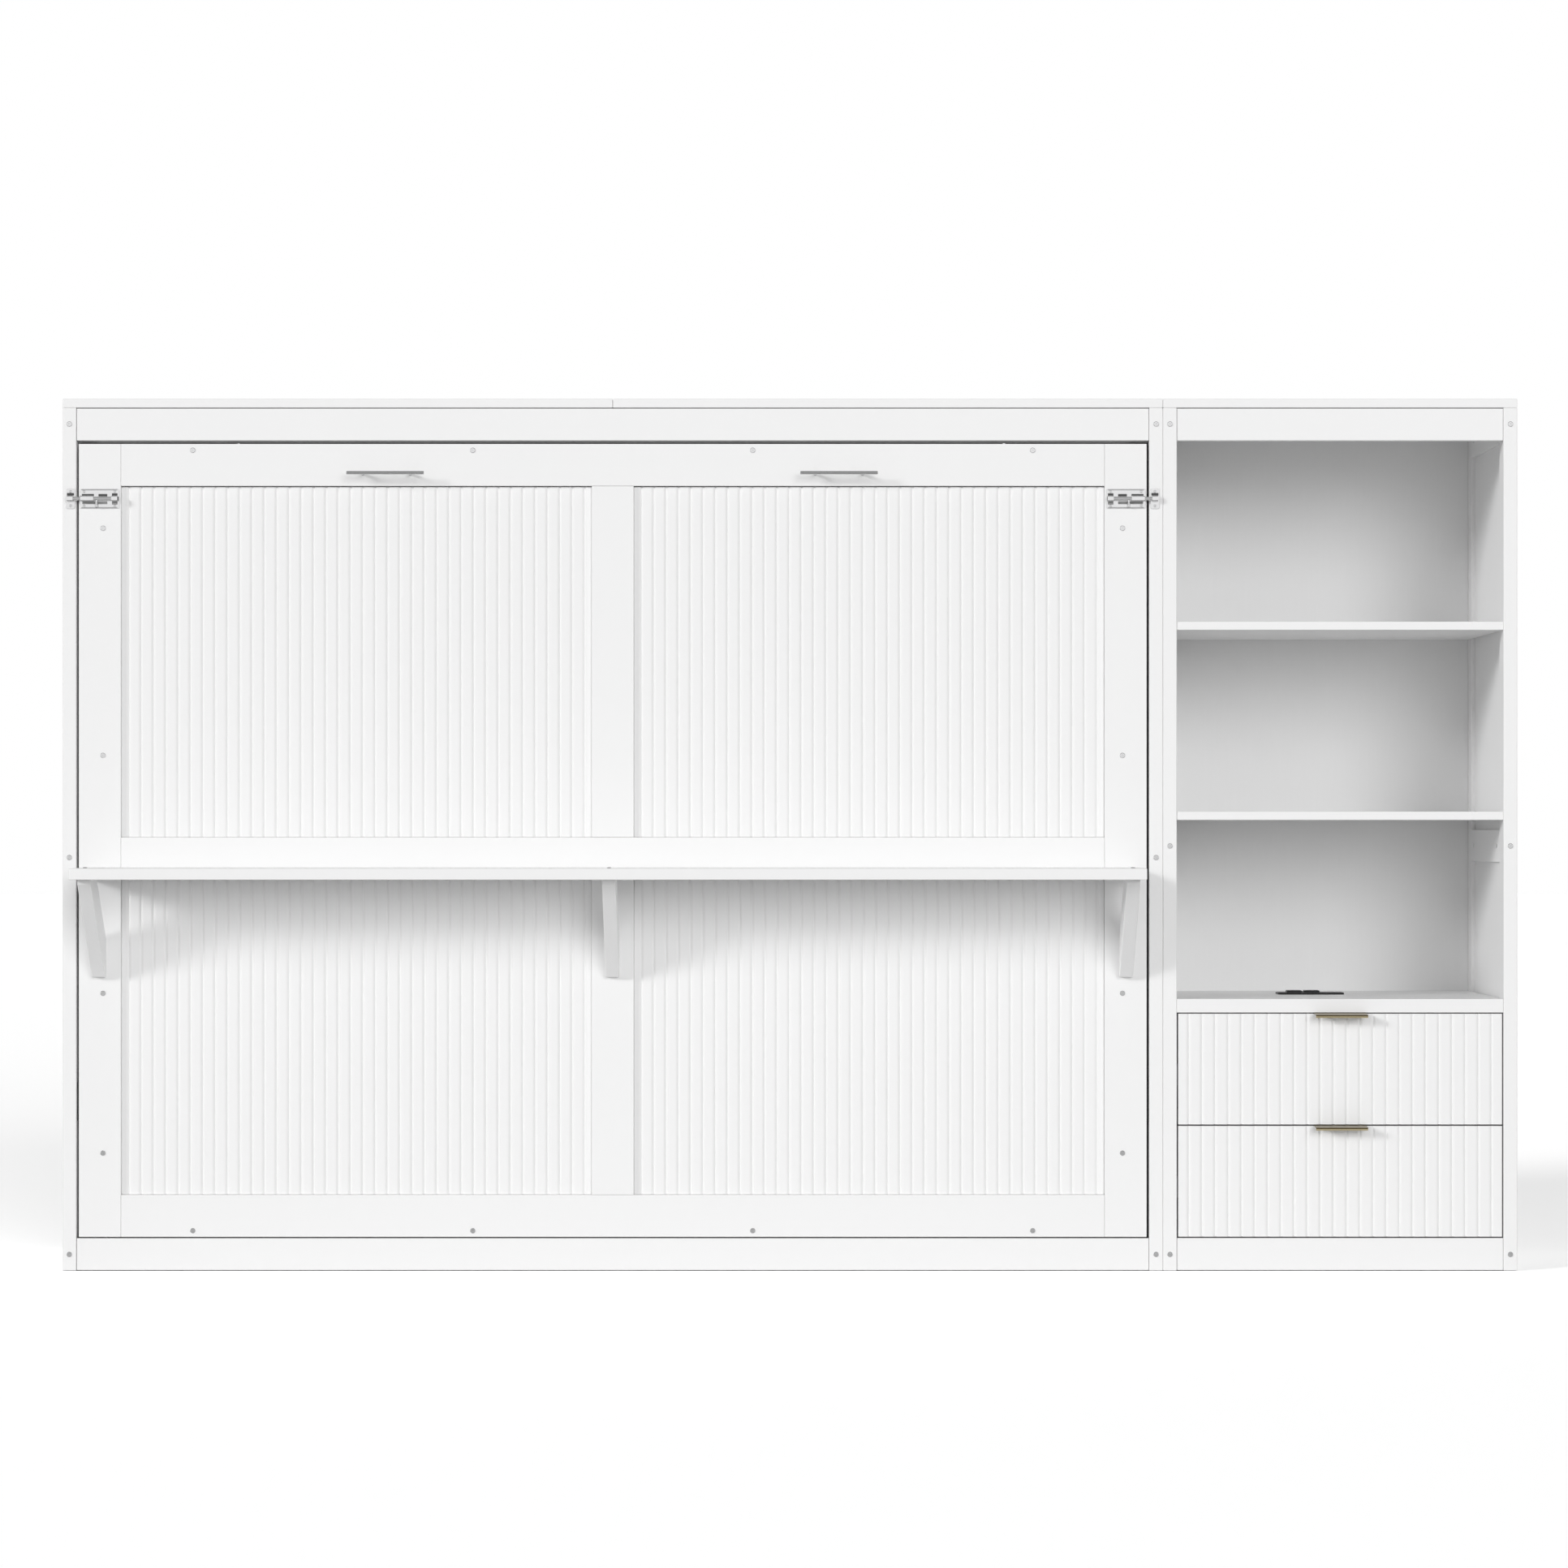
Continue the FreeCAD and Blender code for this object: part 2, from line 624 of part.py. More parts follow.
outer_outline = channel_outline(0, runner_sheet, runner_depth, half, half - runner_sheet, lip)
middle_outline = channel_outline(middle_start, middle_start + runner_sheet, middle_end, middle_half,
                                 middle_half - runner_sheet, None)
inner_outline = channel_outline(runner_space, runner_space - runner_sheet, inner_start, inner_half,
                                inner_half - runner_sheet, None)

# Drawers.
nodes["runner_outer_rails"] = []
runner_length = back_rail_face - runner_back_gap - runner_start
drawer_height = (counter_level - apron_height - 3 * drawer_gap) / 2
front_x = (case_open[0] + drawer_gap, case_open[1] - drawer_gap)
box_x = (case_open[0] + runner_space, case_open[1] - runner_space)
box_depth = (drawer_front_thickness, back_rail_face - box_back_gap)
inside_x = (box_x[0] + box_board, box_x[1] - box_board)
inside_depth = (box_depth[0] + box_board, box_depth[1] - box_board)
for name, order in (("lower_drawer", 0), ("upper_drawer", 1)):
    base = apron_height + drawer_gap + order * (drawer_height + drawer_gap)
    crown = base + drawer_height
    nodes[name + "_front"] = [fluted_board(front_x, (0, drawer_front_thickness), (base, crown),
                                           front_x[1] - front_x[0], drawer_flute_pitch)]
    box_z = (base + box_lift, base + box_lift + box_height)
    bottom_z = (box_z[0] + box_bottom_lift, box_z[0] + box_bottom_lift + box_bottom_thickness)
    bottom = block((inside_x[0] - box_bottom_tongue, inside_x[1] + box_bottom_tongue),
                   (inside_depth[0] - box_bottom_tongue, inside_depth[1] + box_bottom_tongue), bottom_z)
    seat = bottom_z[0] - groove_clearance, bottom_z[1] + groove_clearance
    spread = box_bottom_tongue + edge_clearance
    groove = block((inside_x[0] - spread, inside_x[1] + spread),
                   (inside_depth[0] - spread, inside_depth[1] + spread), seat)
    boards = [((box_x[0], inside_x[0]), box_depth), ((inside_x[1], box_x[1]), box_depth),
              (inside_x, (box_depth[0], inside_depth[0])), (inside_x, (inside_depth[1], box_depth[1]))]
    nodes[name + "_box"] = [block(x_span, span, box_z).cut(groove) for x_span, span in boards] + [bottom]
    pull_top = crown + pull_sheet
    lip_back = -pull_projection + pull_sheet
    lip_foot = pull_top - pull_lip
    slope = pull_fall / pull_projection
    pull_outline = [(pull_hold, crown), (pull_hold, pull_top), (0, pull_top),
                    (-pull_projection, pull_top - pull_fall), (-pull_projection, lip_foot),
                    (lip_back, lip_foot), (lip_back, crown + slope * lip_back), (0, crown)]
    nodes[name + "_pull"] = [side_prism(level_span(case_middle, pull_width), pull_outline)]
    level = sum(box_z) / 2
    nodes["runner_outer_rails"] += channel(outer_outline, level, runner_length)
    nodes[name + "_runner_middle"] = channel(middle_outline, level, runner_length - middle_member_shortfall)
    nodes[name + "_runner_inner"] = channel(inner_outline, level, runner_length - inner_member_shortfall)

os.makedirs("parts", exist_ok=True)
for name, solids in nodes.items():
    shape = solids[0] if len(solids) == 1 else Part.makeCompound(solids)
    shape.exportStep("parts/" + name + ".step")
print(len(nodes), "nodes; strut", round(strut_length, 1), "mm; pivot level", round(pivot_level, 1), "mm")
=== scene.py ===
import math
import bpy
import numpy as np
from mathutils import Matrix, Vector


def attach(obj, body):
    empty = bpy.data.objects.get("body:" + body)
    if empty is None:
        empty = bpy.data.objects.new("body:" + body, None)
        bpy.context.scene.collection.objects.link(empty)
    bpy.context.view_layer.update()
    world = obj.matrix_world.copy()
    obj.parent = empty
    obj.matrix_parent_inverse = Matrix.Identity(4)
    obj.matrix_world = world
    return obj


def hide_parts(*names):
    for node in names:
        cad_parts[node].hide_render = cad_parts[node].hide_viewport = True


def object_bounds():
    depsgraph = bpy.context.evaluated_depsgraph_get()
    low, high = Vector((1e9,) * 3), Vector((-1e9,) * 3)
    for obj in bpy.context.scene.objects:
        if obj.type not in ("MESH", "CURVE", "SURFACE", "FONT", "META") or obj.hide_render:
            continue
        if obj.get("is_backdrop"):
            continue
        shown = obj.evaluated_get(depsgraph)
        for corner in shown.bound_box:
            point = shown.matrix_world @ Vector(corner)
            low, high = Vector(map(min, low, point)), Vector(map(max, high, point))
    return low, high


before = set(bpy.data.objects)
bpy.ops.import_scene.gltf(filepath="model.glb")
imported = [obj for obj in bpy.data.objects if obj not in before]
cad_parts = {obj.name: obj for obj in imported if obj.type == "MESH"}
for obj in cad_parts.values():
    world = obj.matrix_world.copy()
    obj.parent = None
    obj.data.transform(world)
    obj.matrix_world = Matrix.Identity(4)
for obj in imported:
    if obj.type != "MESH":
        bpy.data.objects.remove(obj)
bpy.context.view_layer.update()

scene = bpy.context.scene
frontDepth = -120.5  # where the posts' front stands; depths below count back from it
bedMiddle = -358.0  # middle of the bed's width
capLean = 84.0  # degrees at which an eased end meets its flat cap
perMetre = 1000  # pieces are sized in millimetres, meshes, studio and camera are in metres
print("wall bed: frame loaded,", len(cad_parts), "nodes")


# Faces of a grid of rows by columns, closed round its columns and, if asked, round its rows.
def gridFaces(rows, columns, ringed=False):
    row = np.arange(rows if ringed else rows - 1)[:, None]
    column = np.arange(columns)[None]
    ahead, beside = (row + 1) % rows * columns, (column + 1) % columns
    corners = (row * columns + column, row * columns + beside, ahead + beside, ahead + column)
    return np.stack(np.broadcast_arrays(*corners), -1).reshape(-1, 4)


def endCaps(rows, columns):  # the first and the last row of such a grid, as two flat faces
    ring = np.arange(columns)
    return [ring[::-1].tolist(), (ring + (rows - 1) * columns).tolist()]


# Outline with each corner turned into an arc: centre set in along the bisector by radius / cos(half turn),
# points at centre + radius times the normal, which swings from one edge's normal to the next.
def easedOutline(corners, radius, steps=2):
    corners = np.asarray(corners, float)
    radius = np.broadcast_to(np.asarray(radius, float), len(corners))
    following = np.roll(corners, -1, 0)
    if (corners[:, 0] * following[:, 1] - corners[:, 1] * following[:, 0]).sum() < 0:
        corners, radius = corners[::-1], radius[::-1]
    back = corners - np.roll(corners, 1, 0)
    onward = np.roll(corners, -1, 0) - corners
    first = np.arctan2(-back[:, 0], back[:, 1])
    turn = (np.arctan2(-onward[:, 0], onward[:, 1]) - first + math.pi) % (2 * math.pi) - math.pi
    reach = np.sign(turn) * radius
    middle = first + turn / 2
    bisector = np.stack([np.cos(middle), np.sin(middle)], -1)
    centre = corners - (reach / np.cos(turn / 2))[:, None] * bisector
    swing = first[:, None] + turn[:, None] * np.linspace(0, 1, steps + 1)
    normals = np.stack([np.cos(swing), np.sin(swing)], -1)
    points = centre[:, None] + reach[:, None, None] * normals
    edge = np.sin(np.linspace(0, math.pi, steps + 1)) * np.ones((len(corners), 1))
    return points.reshape(-1, 2), normals.reshape(-1, 2), edge.reshape(-1)


# Outline carried straight along an axis; at both ends it draws in along its normals on a quarter circle:
# place = end -+ ease (1 - sin lean), inset = ease (1 - cos lean).
def carried(outline, span, ease, axis, steps=2):
    points, normals, edge = outline
    leaning = np.linspace(capLean, 0, steps + 1)
    lean = np.radians(np.concatenate([leaning, leaning[::-1]]))
    way = np.repeat([-1.0, 1.0], steps + 1)
    along = np.where(way < 0, span[0], span[1]) - way * ease * (1 - np.sin(lean))
    inset = points[None] - (ease * (1 - np.cos(lean)))[:, None, None] * normals[None]
    lean[[0, -1]] = math.pi / 2  # the caps face straight out
    tilted = normals[None] * np.cos(lean)[:, None, None]
    shape = inset.shape[:2]
    place = np.concatenate([inset, np.broadcast_to(along[:, None], shape)[..., None]], -1)
    facing = np.concatenate([tilted, np.broadcast_to((way * np.sin(lean))[:, None], shape)[..., None]], -1)
    order = {"x": [2, 0, 1], "y": [0, 2, 1], "z": [0, 1, 2]}[axis]
    worn = np.maximum(edge[None] * np.cos(lean)[:, None], np.sin(2 * lean)[:, None])
    return (place.reshape(-1, 3)[:, order], facing.reshape(-1, 3)[:, order], worn.reshape(-1),
            gridFaces(*shape), endCaps(*shape))


# Outline of radius and height turned about an axis through origin. An outline from axis to axis is closed
# by two flat discs, any other is a ring. Inside socketRadius the plan follows lobes(angle), not a circle.
def turned(corners, radius, origin, axis, sides=28, steps=2, socketRadius=0.0, lobes=None):
    onAxis = corners[0][0] == 0
    points, normals, edge = easedOutline(corners, radius, steps)
    if onAxis:
        keep = slice(steps + 1, -(steps + 1))
        points, normals, edge = points[keep], normals[keep], edge[keep]
    along = np.asarray(axis, float) / np.linalg.norm(axis)
    across = np.cross(along, [0.0, 0.0, 1.0] if abs(along[2]) < 0.9 else [1.0, 0.0, 0.0])
    across = across / np.linalg.norm(across)
    upward = np.cross(along, across)
    angle = np.linspace(0, 2 * math.pi, sides, endpoint=False)
    spoke = np.cos(angle)[:, None] * across + np.sin(angle)[:, None] * upward
    reach = points[:, 0][:, None] * np.ones(sides)
    if lobes is not None:
        reach = np.where(reach <= socketRadius, reach * lobes(angle), reach)
    place = np.asarray(origin, float) + reach[..., None] * spoke[None] + points[:, 1][:, None, None] * along
    facing = normals[:, 0][:, None, None] * spoke[None] + normals[:, 1][:, None, None] * along
    worn = edge[:, None] * np.ones(sides)
    rows = len(points)
    caps = endCaps(rows, sides) if onAxis else []
    faces = gridFaces(rows, sides, not onAxis)
    return place.reshape(-1, 3), facing.reshape(-1, 3), worn.reshape(-1), faces, caps


def hexagon(angle):  # plan of a hexagonal socket: flats at cos(30) / cos(angle from the flat's middle)
    return math.cos(math.pi / 6) / np.cos(angle % (math.pi / 3) - math.pi / 6)


def cross(angle):  # plan of a cross recess: four lobes, between them 0.42 of the radius
    return 0.42 + 0.58 * np.abs(np.cos(2 * angle)) ** 3


def rectangle(first, second):  # corners from two spans
    return [(first[0], second[0]), (first[1], second[0]), (first[1], second[1]), (first[0], second[1])]


def board(x, depth, z, ease=1.2):  # rectangle of x and depth carried up z, all edges eased
    return carried(easedOutline(rectangle(x, depth), ease), z, ease, "z")


def rod(start, axis, radius, length, ease=0.6, sides=28):  # rectangle of radius and length, turned
    profile = [(0, 0), (radius, 0), (radius, length), (0, length)]
    return turned(profile, [0, ease, ease, 0], start, axis, sides)


def about(middle, width):  # span of a width about its middle
    return (middle - width / 2, middle + width / 2)


def mirrored(part):  # the same part on the other side of the bed: x becomes 2 bedMiddle - x
    points, normals, edge, quads, caps = part
    flip = np.array([-1.0, 1.0, 1.0])
    shifted = points * flip + np.array([2 * bedMiddle, 0, 0])
    return shifted, normals * flip, edge, quads[:, ::-1], [cap[::-1] for cap in caps]


def pair(parts):  # the parts of both sides of the bed
    return parts + [mirrored(part) for part in parts]


# One object from several closed parts. A part whose signed volume, the sum of a . (b x c) over its faces,
# is negative is turned the right way out.
def makePiece(name, parts, finish, body, nodes=()):
    places, facings, edges, faces, count = [], [], [], [], 0
    for points, normals, edge, quads, caps in parts:
        a, b, c, d = (points[quads[:, i]] for i in range(4))
        volume = (np.cross(b, c) * a).sum() + (np.cross(c, d) * a).sum()
        for cap in caps:
            rim = points[cap]
            volume += (np.cross(rim[1:-1], rim[2:]) * rim[0]).sum()
        if volume < 0:
            quads, caps = quads[:, ::-1], [cap[::-1] for cap in caps]
        faces += (quads + count).tolist() + [[i + count for i in cap] for cap in caps]
        places.append(points)
        facings.append(normals)
        edges.append(edge)
        count += len(points)
    world = (np.concatenate(places) + np.array([0, frontDepth, 0])) / perMetre
    mesh = bpy.data.meshes.new(name)
    mesh.from_pydata(world.tolist(), [], faces)
    worn = mesh.attributes.new("edge", "FLOAT", "POINT")
    worn.data.foreach_set("value", np.concatenate(edges).astype(np.float32))
    mesh.shade_smooth()
    mesh.normals_split_custom_set_from_vertices(np.concatenate(facings).tolist())
    mesh.materials.append(finish)
    piece = bpy.data.objects.new(name, mesh)
    scene.collection.objects.link(piece)
    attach(piece, body)
    if nodes:
        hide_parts(*nodes)
    return piece


# A socket that takes part in sums: each operator adds a Math node.
class Wire:
    def __init__(self, tree, socket):
        self.tree, self.socket = tree, socket

    def sum(self, operation, *values):
        node = self.tree.nodes.new("ShaderNodeMath")
        node.operation = operation
        for place, value in zip(node.inputs, values):
            feed(self.tree, place, value)
        return Wire(self.tree, node.outputs[0])

    def __add__(self, other):
        return self.sum("ADD", self, other)

    def __radd__(self, other):
        return self.sum("ADD", other, self)

    def __sub__(self, other):
        return self.sum("SUBTRACT", self, other)

    def __rsub__(self, other):
        return self.sum("SUBTRACT", other, self)

    def __mul__(self, other):
        return self.sum("MULTIPLY", self, other)

    def __rmul__(self, other):
        return self.sum("MULTIPLY", other, self)

    def __pow__(self, other):
        return self.sum("POWER", self, other)

    def __rpow__(self, other):
        return self.sum("POWER", other, self)


def feed(tree, place, value):  # links a wire to a socket, or sets the socket's own value
    if isinstance(value, Wire):
        tree.links.new(value.socket, place)
    else:
        place.default_value = value


class Nodes:  # a node tree under construction
    def __init__(self, tree):
        self.tree = tree

    def add(self, kind, settings, sockets, out=0):
        node = self.tree.nodes.new(kind)
        for key, value in settings.items():
            if key == "stops":
                for element, (position, colour) in zip(node.color_ramp.elements, value):
                    element.position, element.color = position, colour
            else:
                setattr(node, key, value)
        for key, value in sockets.items():
            feed(self.tree, node.inputs[key], value)
        return Wire(self.tree, node.outputs[out])

    def join(self, out, kind, place):  # feeds a node that is already in the tree
        feed(self.tree, self.tree.nodes[kind].inputs[place], out)


class Finish(Nodes):  # one material under construction
    def __init__(self, name):
        self.material = bpy.data.materials.new(name)
        self.material.use_nodes = True
        super().__init__(self.material.node_tree)
        self.shader = self.tree.nodes["Principled BSDF"]
        self.object = self.add("ShaderNodeTexCoord", {}, {}, "Object")
        self.edge = self.add("ShaderNodeAttribute", {"attribute_name": "edge"}, {}, "Fac")

    def spread(self, scale):  # object coordinates with their own scale along each axis
        return self.add("ShaderNodeMapping", {}, {"Vector": self.object, "Scale": scale})

    def noise(self, scale, detail=3.0, roughness=0.55, vector=None):  # scale counts to the metre
        return self.add("ShaderNodeTexNoise", {}, {"Vector": vector or self.object, "Scale": scale,
                                                   "Detail": detail, "Roughness": roughness})

    def mix(self, factor, first, second):  # 6, 7 and 2 are the sockets for colours
        return self.add("ShaderNodeMix", {"data_type": "RGBA"}, {0: factor, 6: first, 7: second}, 2)

    def bump(self, height, strength, distance):
        return self.add("ShaderNodeBump", {}, {"Height": height, "Strength": strength, "Distance": distance})

    def done(self, **sockets):
        for key, value in sockets.items():
            feed(self.tree, self.shader.inputs[key.replace("_", " ")], value)
        return self.material


def tint(tone, factor=1.0, lift=0.0):  # a colour socket's value: tone times factor, raised by lift
    return (*(np.asarray(tone, float) * factor + lift).tolist(), 1.0)


# Sprayed satin lacquer: cloudy tone, orange peel, thinner and a little duller on the eased edges.
lacquerLook = {"cloud": 2.6, "clouded": 0.985, "cloudDull": 0.08, "rub": 60.0, "rubbed": (0.93, 0.92, 0.895),
               "rubShare": 0.35, "rubDull": 0.12, "peel": 420.0, "bump": (0.06, 0.0004), "ior": 1.47}


def lacquer(name, tone, dullness):
    look, finish = lacquerLook, Finish(name)
    cloud = finish.noise(look["cloud"], detail=4.0)
    peel = finish.noise(look["peel"], detail=2.0)
    rub = finish.noise(look["rub"]) * finish.edge
    base = finish.mix(cloud, tint(tone), tint(tone, look["clouded"]))
    base = finish.mix(rub * look["rubShare"], base, tint(tone, look["rubbed"]))
    rough = dullness + look["cloudDull"] * cloud + look["rubDull"] * rub
    return finish.done(Base_Color=base, Roughness=rough, IOR=look["ior"],
                       Normal=finish.bump(peel, *look["bump"]))


# Faced back board: flat white film with a faint pressed grain.
facedLook = {"grain": (220.0, 220.0, 9.0), "grained": 0.975, "rough": 0.5, "grainDull": 0.12,
             "bump": (0.05, 0.0003)}


def facedBoard(name, tone):
    look, finish = facedLook, Finish(name)
    grain = finish.noise(1.0, detail=4.0, roughness=0.6, vector=finish.spread(look["grain"]))
    base = finish.mix(grain, tint(tone), tint(tone, look["grained"]))
    return finish.done(Base_Color=base, Roughness=look["rough"] + look["grainDull"] * grain,
                       Normal=finish.bump(grain, *look["bump"]))


# Planed softwood: rings as bent bands across the board, fibres along it, now and then a knot.
pineLook = {"stretch": 0.045, "wander": 9.0, "bend": 9.0, "rings": 26.0, "contrast": 1.6, "fibre": 520.0,
            "early": (0.80, 0.63, 0.42), "late": (0.66, 0.46, 0.26), "fleck": (0.86, 0.71, 0.52),
            "fleckShare": 0.35, "knots": 3.4, "knotEdge": (0.03, 0.075), "knot": (0.30, 0.15, 0.07),
            "rough": 0.52, "fibreDull": 0.16, "bump": (0.12, 0.0005)}


def softwood(name, along):
    look, finish = pineLook, Finish(name)
    lengths = {"z": (1.0, 1.0, look["stretch"]), "x": (look["stretch"], 1.0, 1.0)}[along]
    wander = finish.noise(look["wander"], detail=2.0, roughness=0.5, vector=finish.spread(lengths))
    bands = finish.add("ShaderNodeTexWave", {"bands_direction": "X" if along == "z" else "Z"},
                       {"Vector": finish.spread(lengths), "Scale": look["rings"],
                        "Distortion": look["bend"] * wander, "Detail": 2.0, "Detail Scale": 1.4}, "Fac")
    fibre = finish.noise(look["fibre"], roughness=0.6, vector=finish.spread(lengths))
    spot = finish.add("ShaderNodeTexVoronoi", {}, {"Vector": finish.object, "Scale": look["knots"]},
                      "Distance")
    stops = tuple(zip(look["knotEdge"], (tint((1, 1, 1)), tint((0, 0, 0)))))
    knot = finish.add("ShaderNodeValToRGB", {"stops": stops}, {"Fac": spot})
    base = finish.mix(bands ** look["contrast"], tint(look["early"]), tint(look["late"]))
    base = finish.mix(fibre * look["fleckShare"], base, tint(look["fleck"]))
    base = finish.mix(knot, base, tint(look["knot"]))
    return finish.done(Base_Color=base, Roughness=look["rough"] + look["fibreDull"] * fibre,
                       Normal=finish.bump(fibre, *look["bump"]))


# Rolled or drawn metal: fine lines along one axis, brighter where the edges are rubbed.
metalLook = {"stain": 28.0, "stained": 0.86, "stainShare": 0.5, "stainDull": 0.05, "rubbed": 1.12,
             "rubShare": 0.45, "streakDull": 0.10, "bump": (0.04, 0.0002)}


def drawnMetal(name, tone, dullness, lines):
    look, finish = metalLook, Finish(name)
    streak = finish.noise(1.0, roughness=0.6, vector=finish.spread(lines))
    stain = finish.noise(look["stain"])
    base = finish.mix(stain * look["stainShare"], tint(tone), tint(tone, look["stained"]))
    base = finish.mix(finish.edge * look["rubShare"], base, tint(tone, look["rubbed"]))
    rough = dullness + look["streakDull"] * streak + look["stainDull"] * stain
    return finish.done(Base_Color=base, Metallic=1.0, Roughness=rough,
                       Normal=finish.bump(streak, *look["bump"]))


# Powder coat or moulded plastic: a fine pebbled skin, paler where the edges are rubbed.
pebbleLook = {"cloud": 14.0, "clouded": (1.5, 0.004), "rubbed": (1.9, 0.02), "rubShare": 0.3,
              "skinDull": 0.15, "bump": (0.22, 0.0004)}


def pebbled(name, tone, dullness, pebble):
    look, finish = pebbleLook, Finish(name)
    skin = finish.noise(pebble, detail=2.0)
    cloud = finish.noise(look["cloud"])
    base = finish.mix(cloud, tint(tone), tint(tone, *look["clouded"]))
    base = finish.mix(finish.edge * look["rubShare"], base, tint(tone, *look["rubbed"]))
    return finish.done(Base_Color=base, Roughness=dullness + look["skinDull"] * skin,
                       Normal=finish.bump(skin, *look["bump"]))


white = lacquer("white_satin_lacquer", (0.90, 0.90, 0.90), 0.40)
boxWhite = lacquer("white_drawer_box", (0.87, 0.868, 0.86), 0.48)
backWhite = facedBoard("white_faced_board", (0.89, 0.89, 0.89))
slatPine = softwood("planed_pine_slats", "z")
cleatPine = softwood("planed_pine_cleats", "x")
powderBlack = pebbled("black_powder_coat", (0.011, 0.011, 0.0115), 0.46, 900.0)
plasticBlack = pebbled("black_moulded_plastic", (0.010, 0.010, 0.0105), 0.34, 1400.0)
bushBlack = pebbled("black_nylon_bush", (0.03, 0.03, 0.03), 0.5, 700.0)
barSteel = drawnMetal("drawn_bright_steel", (0.57, 0.57, 0.575), 0.12, (12.0, 1400.0, 1400.0))
zinc = drawnMetal("zinc_plated_steel", (0.83, 0.83, 0.835), 0.10, (60.0, 700.0, 700.0))
runnerZinc = drawnMetal("zinc_plated_runner", (0.62, 0.63, 0.65), 0.30, (700.0, 14.0, 700.0))
brushedBrass = drawnMetal("brushed_brass", (0.68, 0.58, 0.36), 0.12, (14.0, 900.0, 900.0))
# Painted shade: the pull plates take a darkened copy of the bead's brass, standing for the shade over the
# drawer's top edge.
shadedBrass = drawnMetal("painted_shade_brass", (0.225, 0.182, 0.10), 0.22, (14.0, 900.0, 900.0))
# Painted shade: a near-black sheet standing for the shade inside the stamped slots above the straps and in
# the keeper.
slotShadePaint = pebbled("shadowed_stamping", (0.06, 0.06, 0.06), 0.45, 500.0)
# Painted light and shade: a mid-grey sheet standing for the lit, half-shaded slots below the straps.
slotLitPaint = pebbled("lit_stamping", (0.22, 0.22, 0.22), 0.45, 500.0)
print("finishes ready:", len(bpy.data.materials))


def painted(name, parts, body, node):  # a lacquered piece that stands for one node
    makePiece(name, parts, white, body, [node])


# Frames of both cabinets: four posts each, rails between them, thin panels in the rails.
# Where the two cabinets meet, their faces stand back a little, so that the seam shows.
cabinets = {
    "bed": {"x": (-1470.0, 754.0), "faces": (-1470.0, 753.9), "bolted": (33, 835, 1711),
            "rails": ((0, 66), (282.5, 402.5), (802, 868), (1678, 1744))},
    "bookcase": {"x": (754.0, 1470.0), "faces": (754.1, 1470.0), "bolted": (33, 858.5, 1711),
                 "rails": ((0, 66), (825.5, 891.5), (1678, 1744))},
}
carcass = {"post": 28.0, "postDepth": 54.0, "depth": 491.0, "backFace": 485.0, "height": 1744.0,
           "panel": 12.0, "ease": 1.6, "railEase": 1.0, "panelEase": 0.5}


def cabinetSides(cabinet):
    sides = {"front_posts": [], "back_posts": [], "side_rails": [], "side_panels": []}
    near, far = carcass["postDepth"], carcass["depth"] - carcass["postDepth"]
    left, right = cabinet["x"]
    first, last = cabinet["faces"]
    height, rails = (0, carcass["height"]), cabinet["rails"]
    for across in ((first, left + carcass["post"]), (right - carcass["post"], last)):
        sides["front_posts"].append(board(across, (0, near), height, carcass["ease"]))
        sides["back_posts"].append(board(across, (far, carcass["depth"]), height, carcass["ease"]))
        sides["side_rails"] += [board(across, (near, far), span, carcass["railEase"]) for span in rails]
        thin = about(sum(across) / 2, carcass["panel"])
        sides["side_panels"] += [board(thin, (near, far), (low[1], high[0]), carcass["panelEase"])
                                 for low, high in zip(rails, rails[1:])]
    return sides


for name, cabinet in cabinets.items():
    for part, parts in cabinetSides(cabinet).items():
        painted(name + "_" + part + "_painted", parts, "cabinet", name + "_" + part)
print("cabinet sides done")

# Tops, aprons, joist, backs. A strip behind the top apron closes the gap over the door.
tops = {"z": (1744, 1762), "depth": (0, carcass["depth"]), "ease": 1.4,
        "bed": ((-1470.0, -358.3), (-357.7, 753.8)), "bookcase": ((754.2, 1470.0),)}
aprons = {"bed": (-1441.5, 725.3), "bookcase": (782.4, 1441.4), "depth": (2, 24), "ease": 0.8,
          "bottom": (1, 66), "top": (1678, 1742.5), "bevelled": 60}
closingStrip = {"foot": (32, 1675.5), "back": 40, "lip": 1678.2, "ease": 0.4}
joist = {"width": 28.0, "depth": (24, 461), "z": (1678, 1744)}
backs = {"depth": (carcass["backFace"], carcass["depth"]), "ease": 0.5,
         "bed": ((-1442, -358), (-358, 726)), "bedZ": (60, 1684),
         "bookcase": ((782, 1442),), "bookcaseZ": (60, 1723)}
for name, pieceName, node in (("bed", "bed_tops_painted", "bed_top_panels"),
                              ("bookcase", "bookcase_top_painted", "bookcase_top_panel")):
    boards = [board(x, tops["depth"], tops["z"], tops["ease"]) for x in tops[name]]
    painted(pieceName, boards, "cabinet", node)
near, far = aprons["depth"]
crown = aprons["top"][1]
foot, back = closingStrip["foot"], closingStrip["back"]
stripOutline = easedOutline([foot, (back, foot[1]), (back, crown), (far, crown), (far, closingStrip["lip"])],
                            closingStrip["ease"])
topApron = board(aprons["bed"], aprons["depth"], aprons["top"], aprons["ease"])
strip = carried(stripOutline, aprons["bed"], closingStrip["ease"], "x")
painted("bed_top_apron_painted", [topApron, strip], "cabinet", "bed_top_apron")
boards = [board(aprons["bookcase"], aprons["depth"], aprons[z], aprons["ease"]) for z in ("bottom", "top")]
painted("bookcase_aprons_painted", boards, "cabinet", "bookcase_aprons")
low, high = aprons["bottom"]  # the bed's bottom apron falls away behind, under the swinging door
bevel = easedOutline([(near, low), (far, low), (far, aprons["bevelled"]), (near, high)], aprons["ease"])
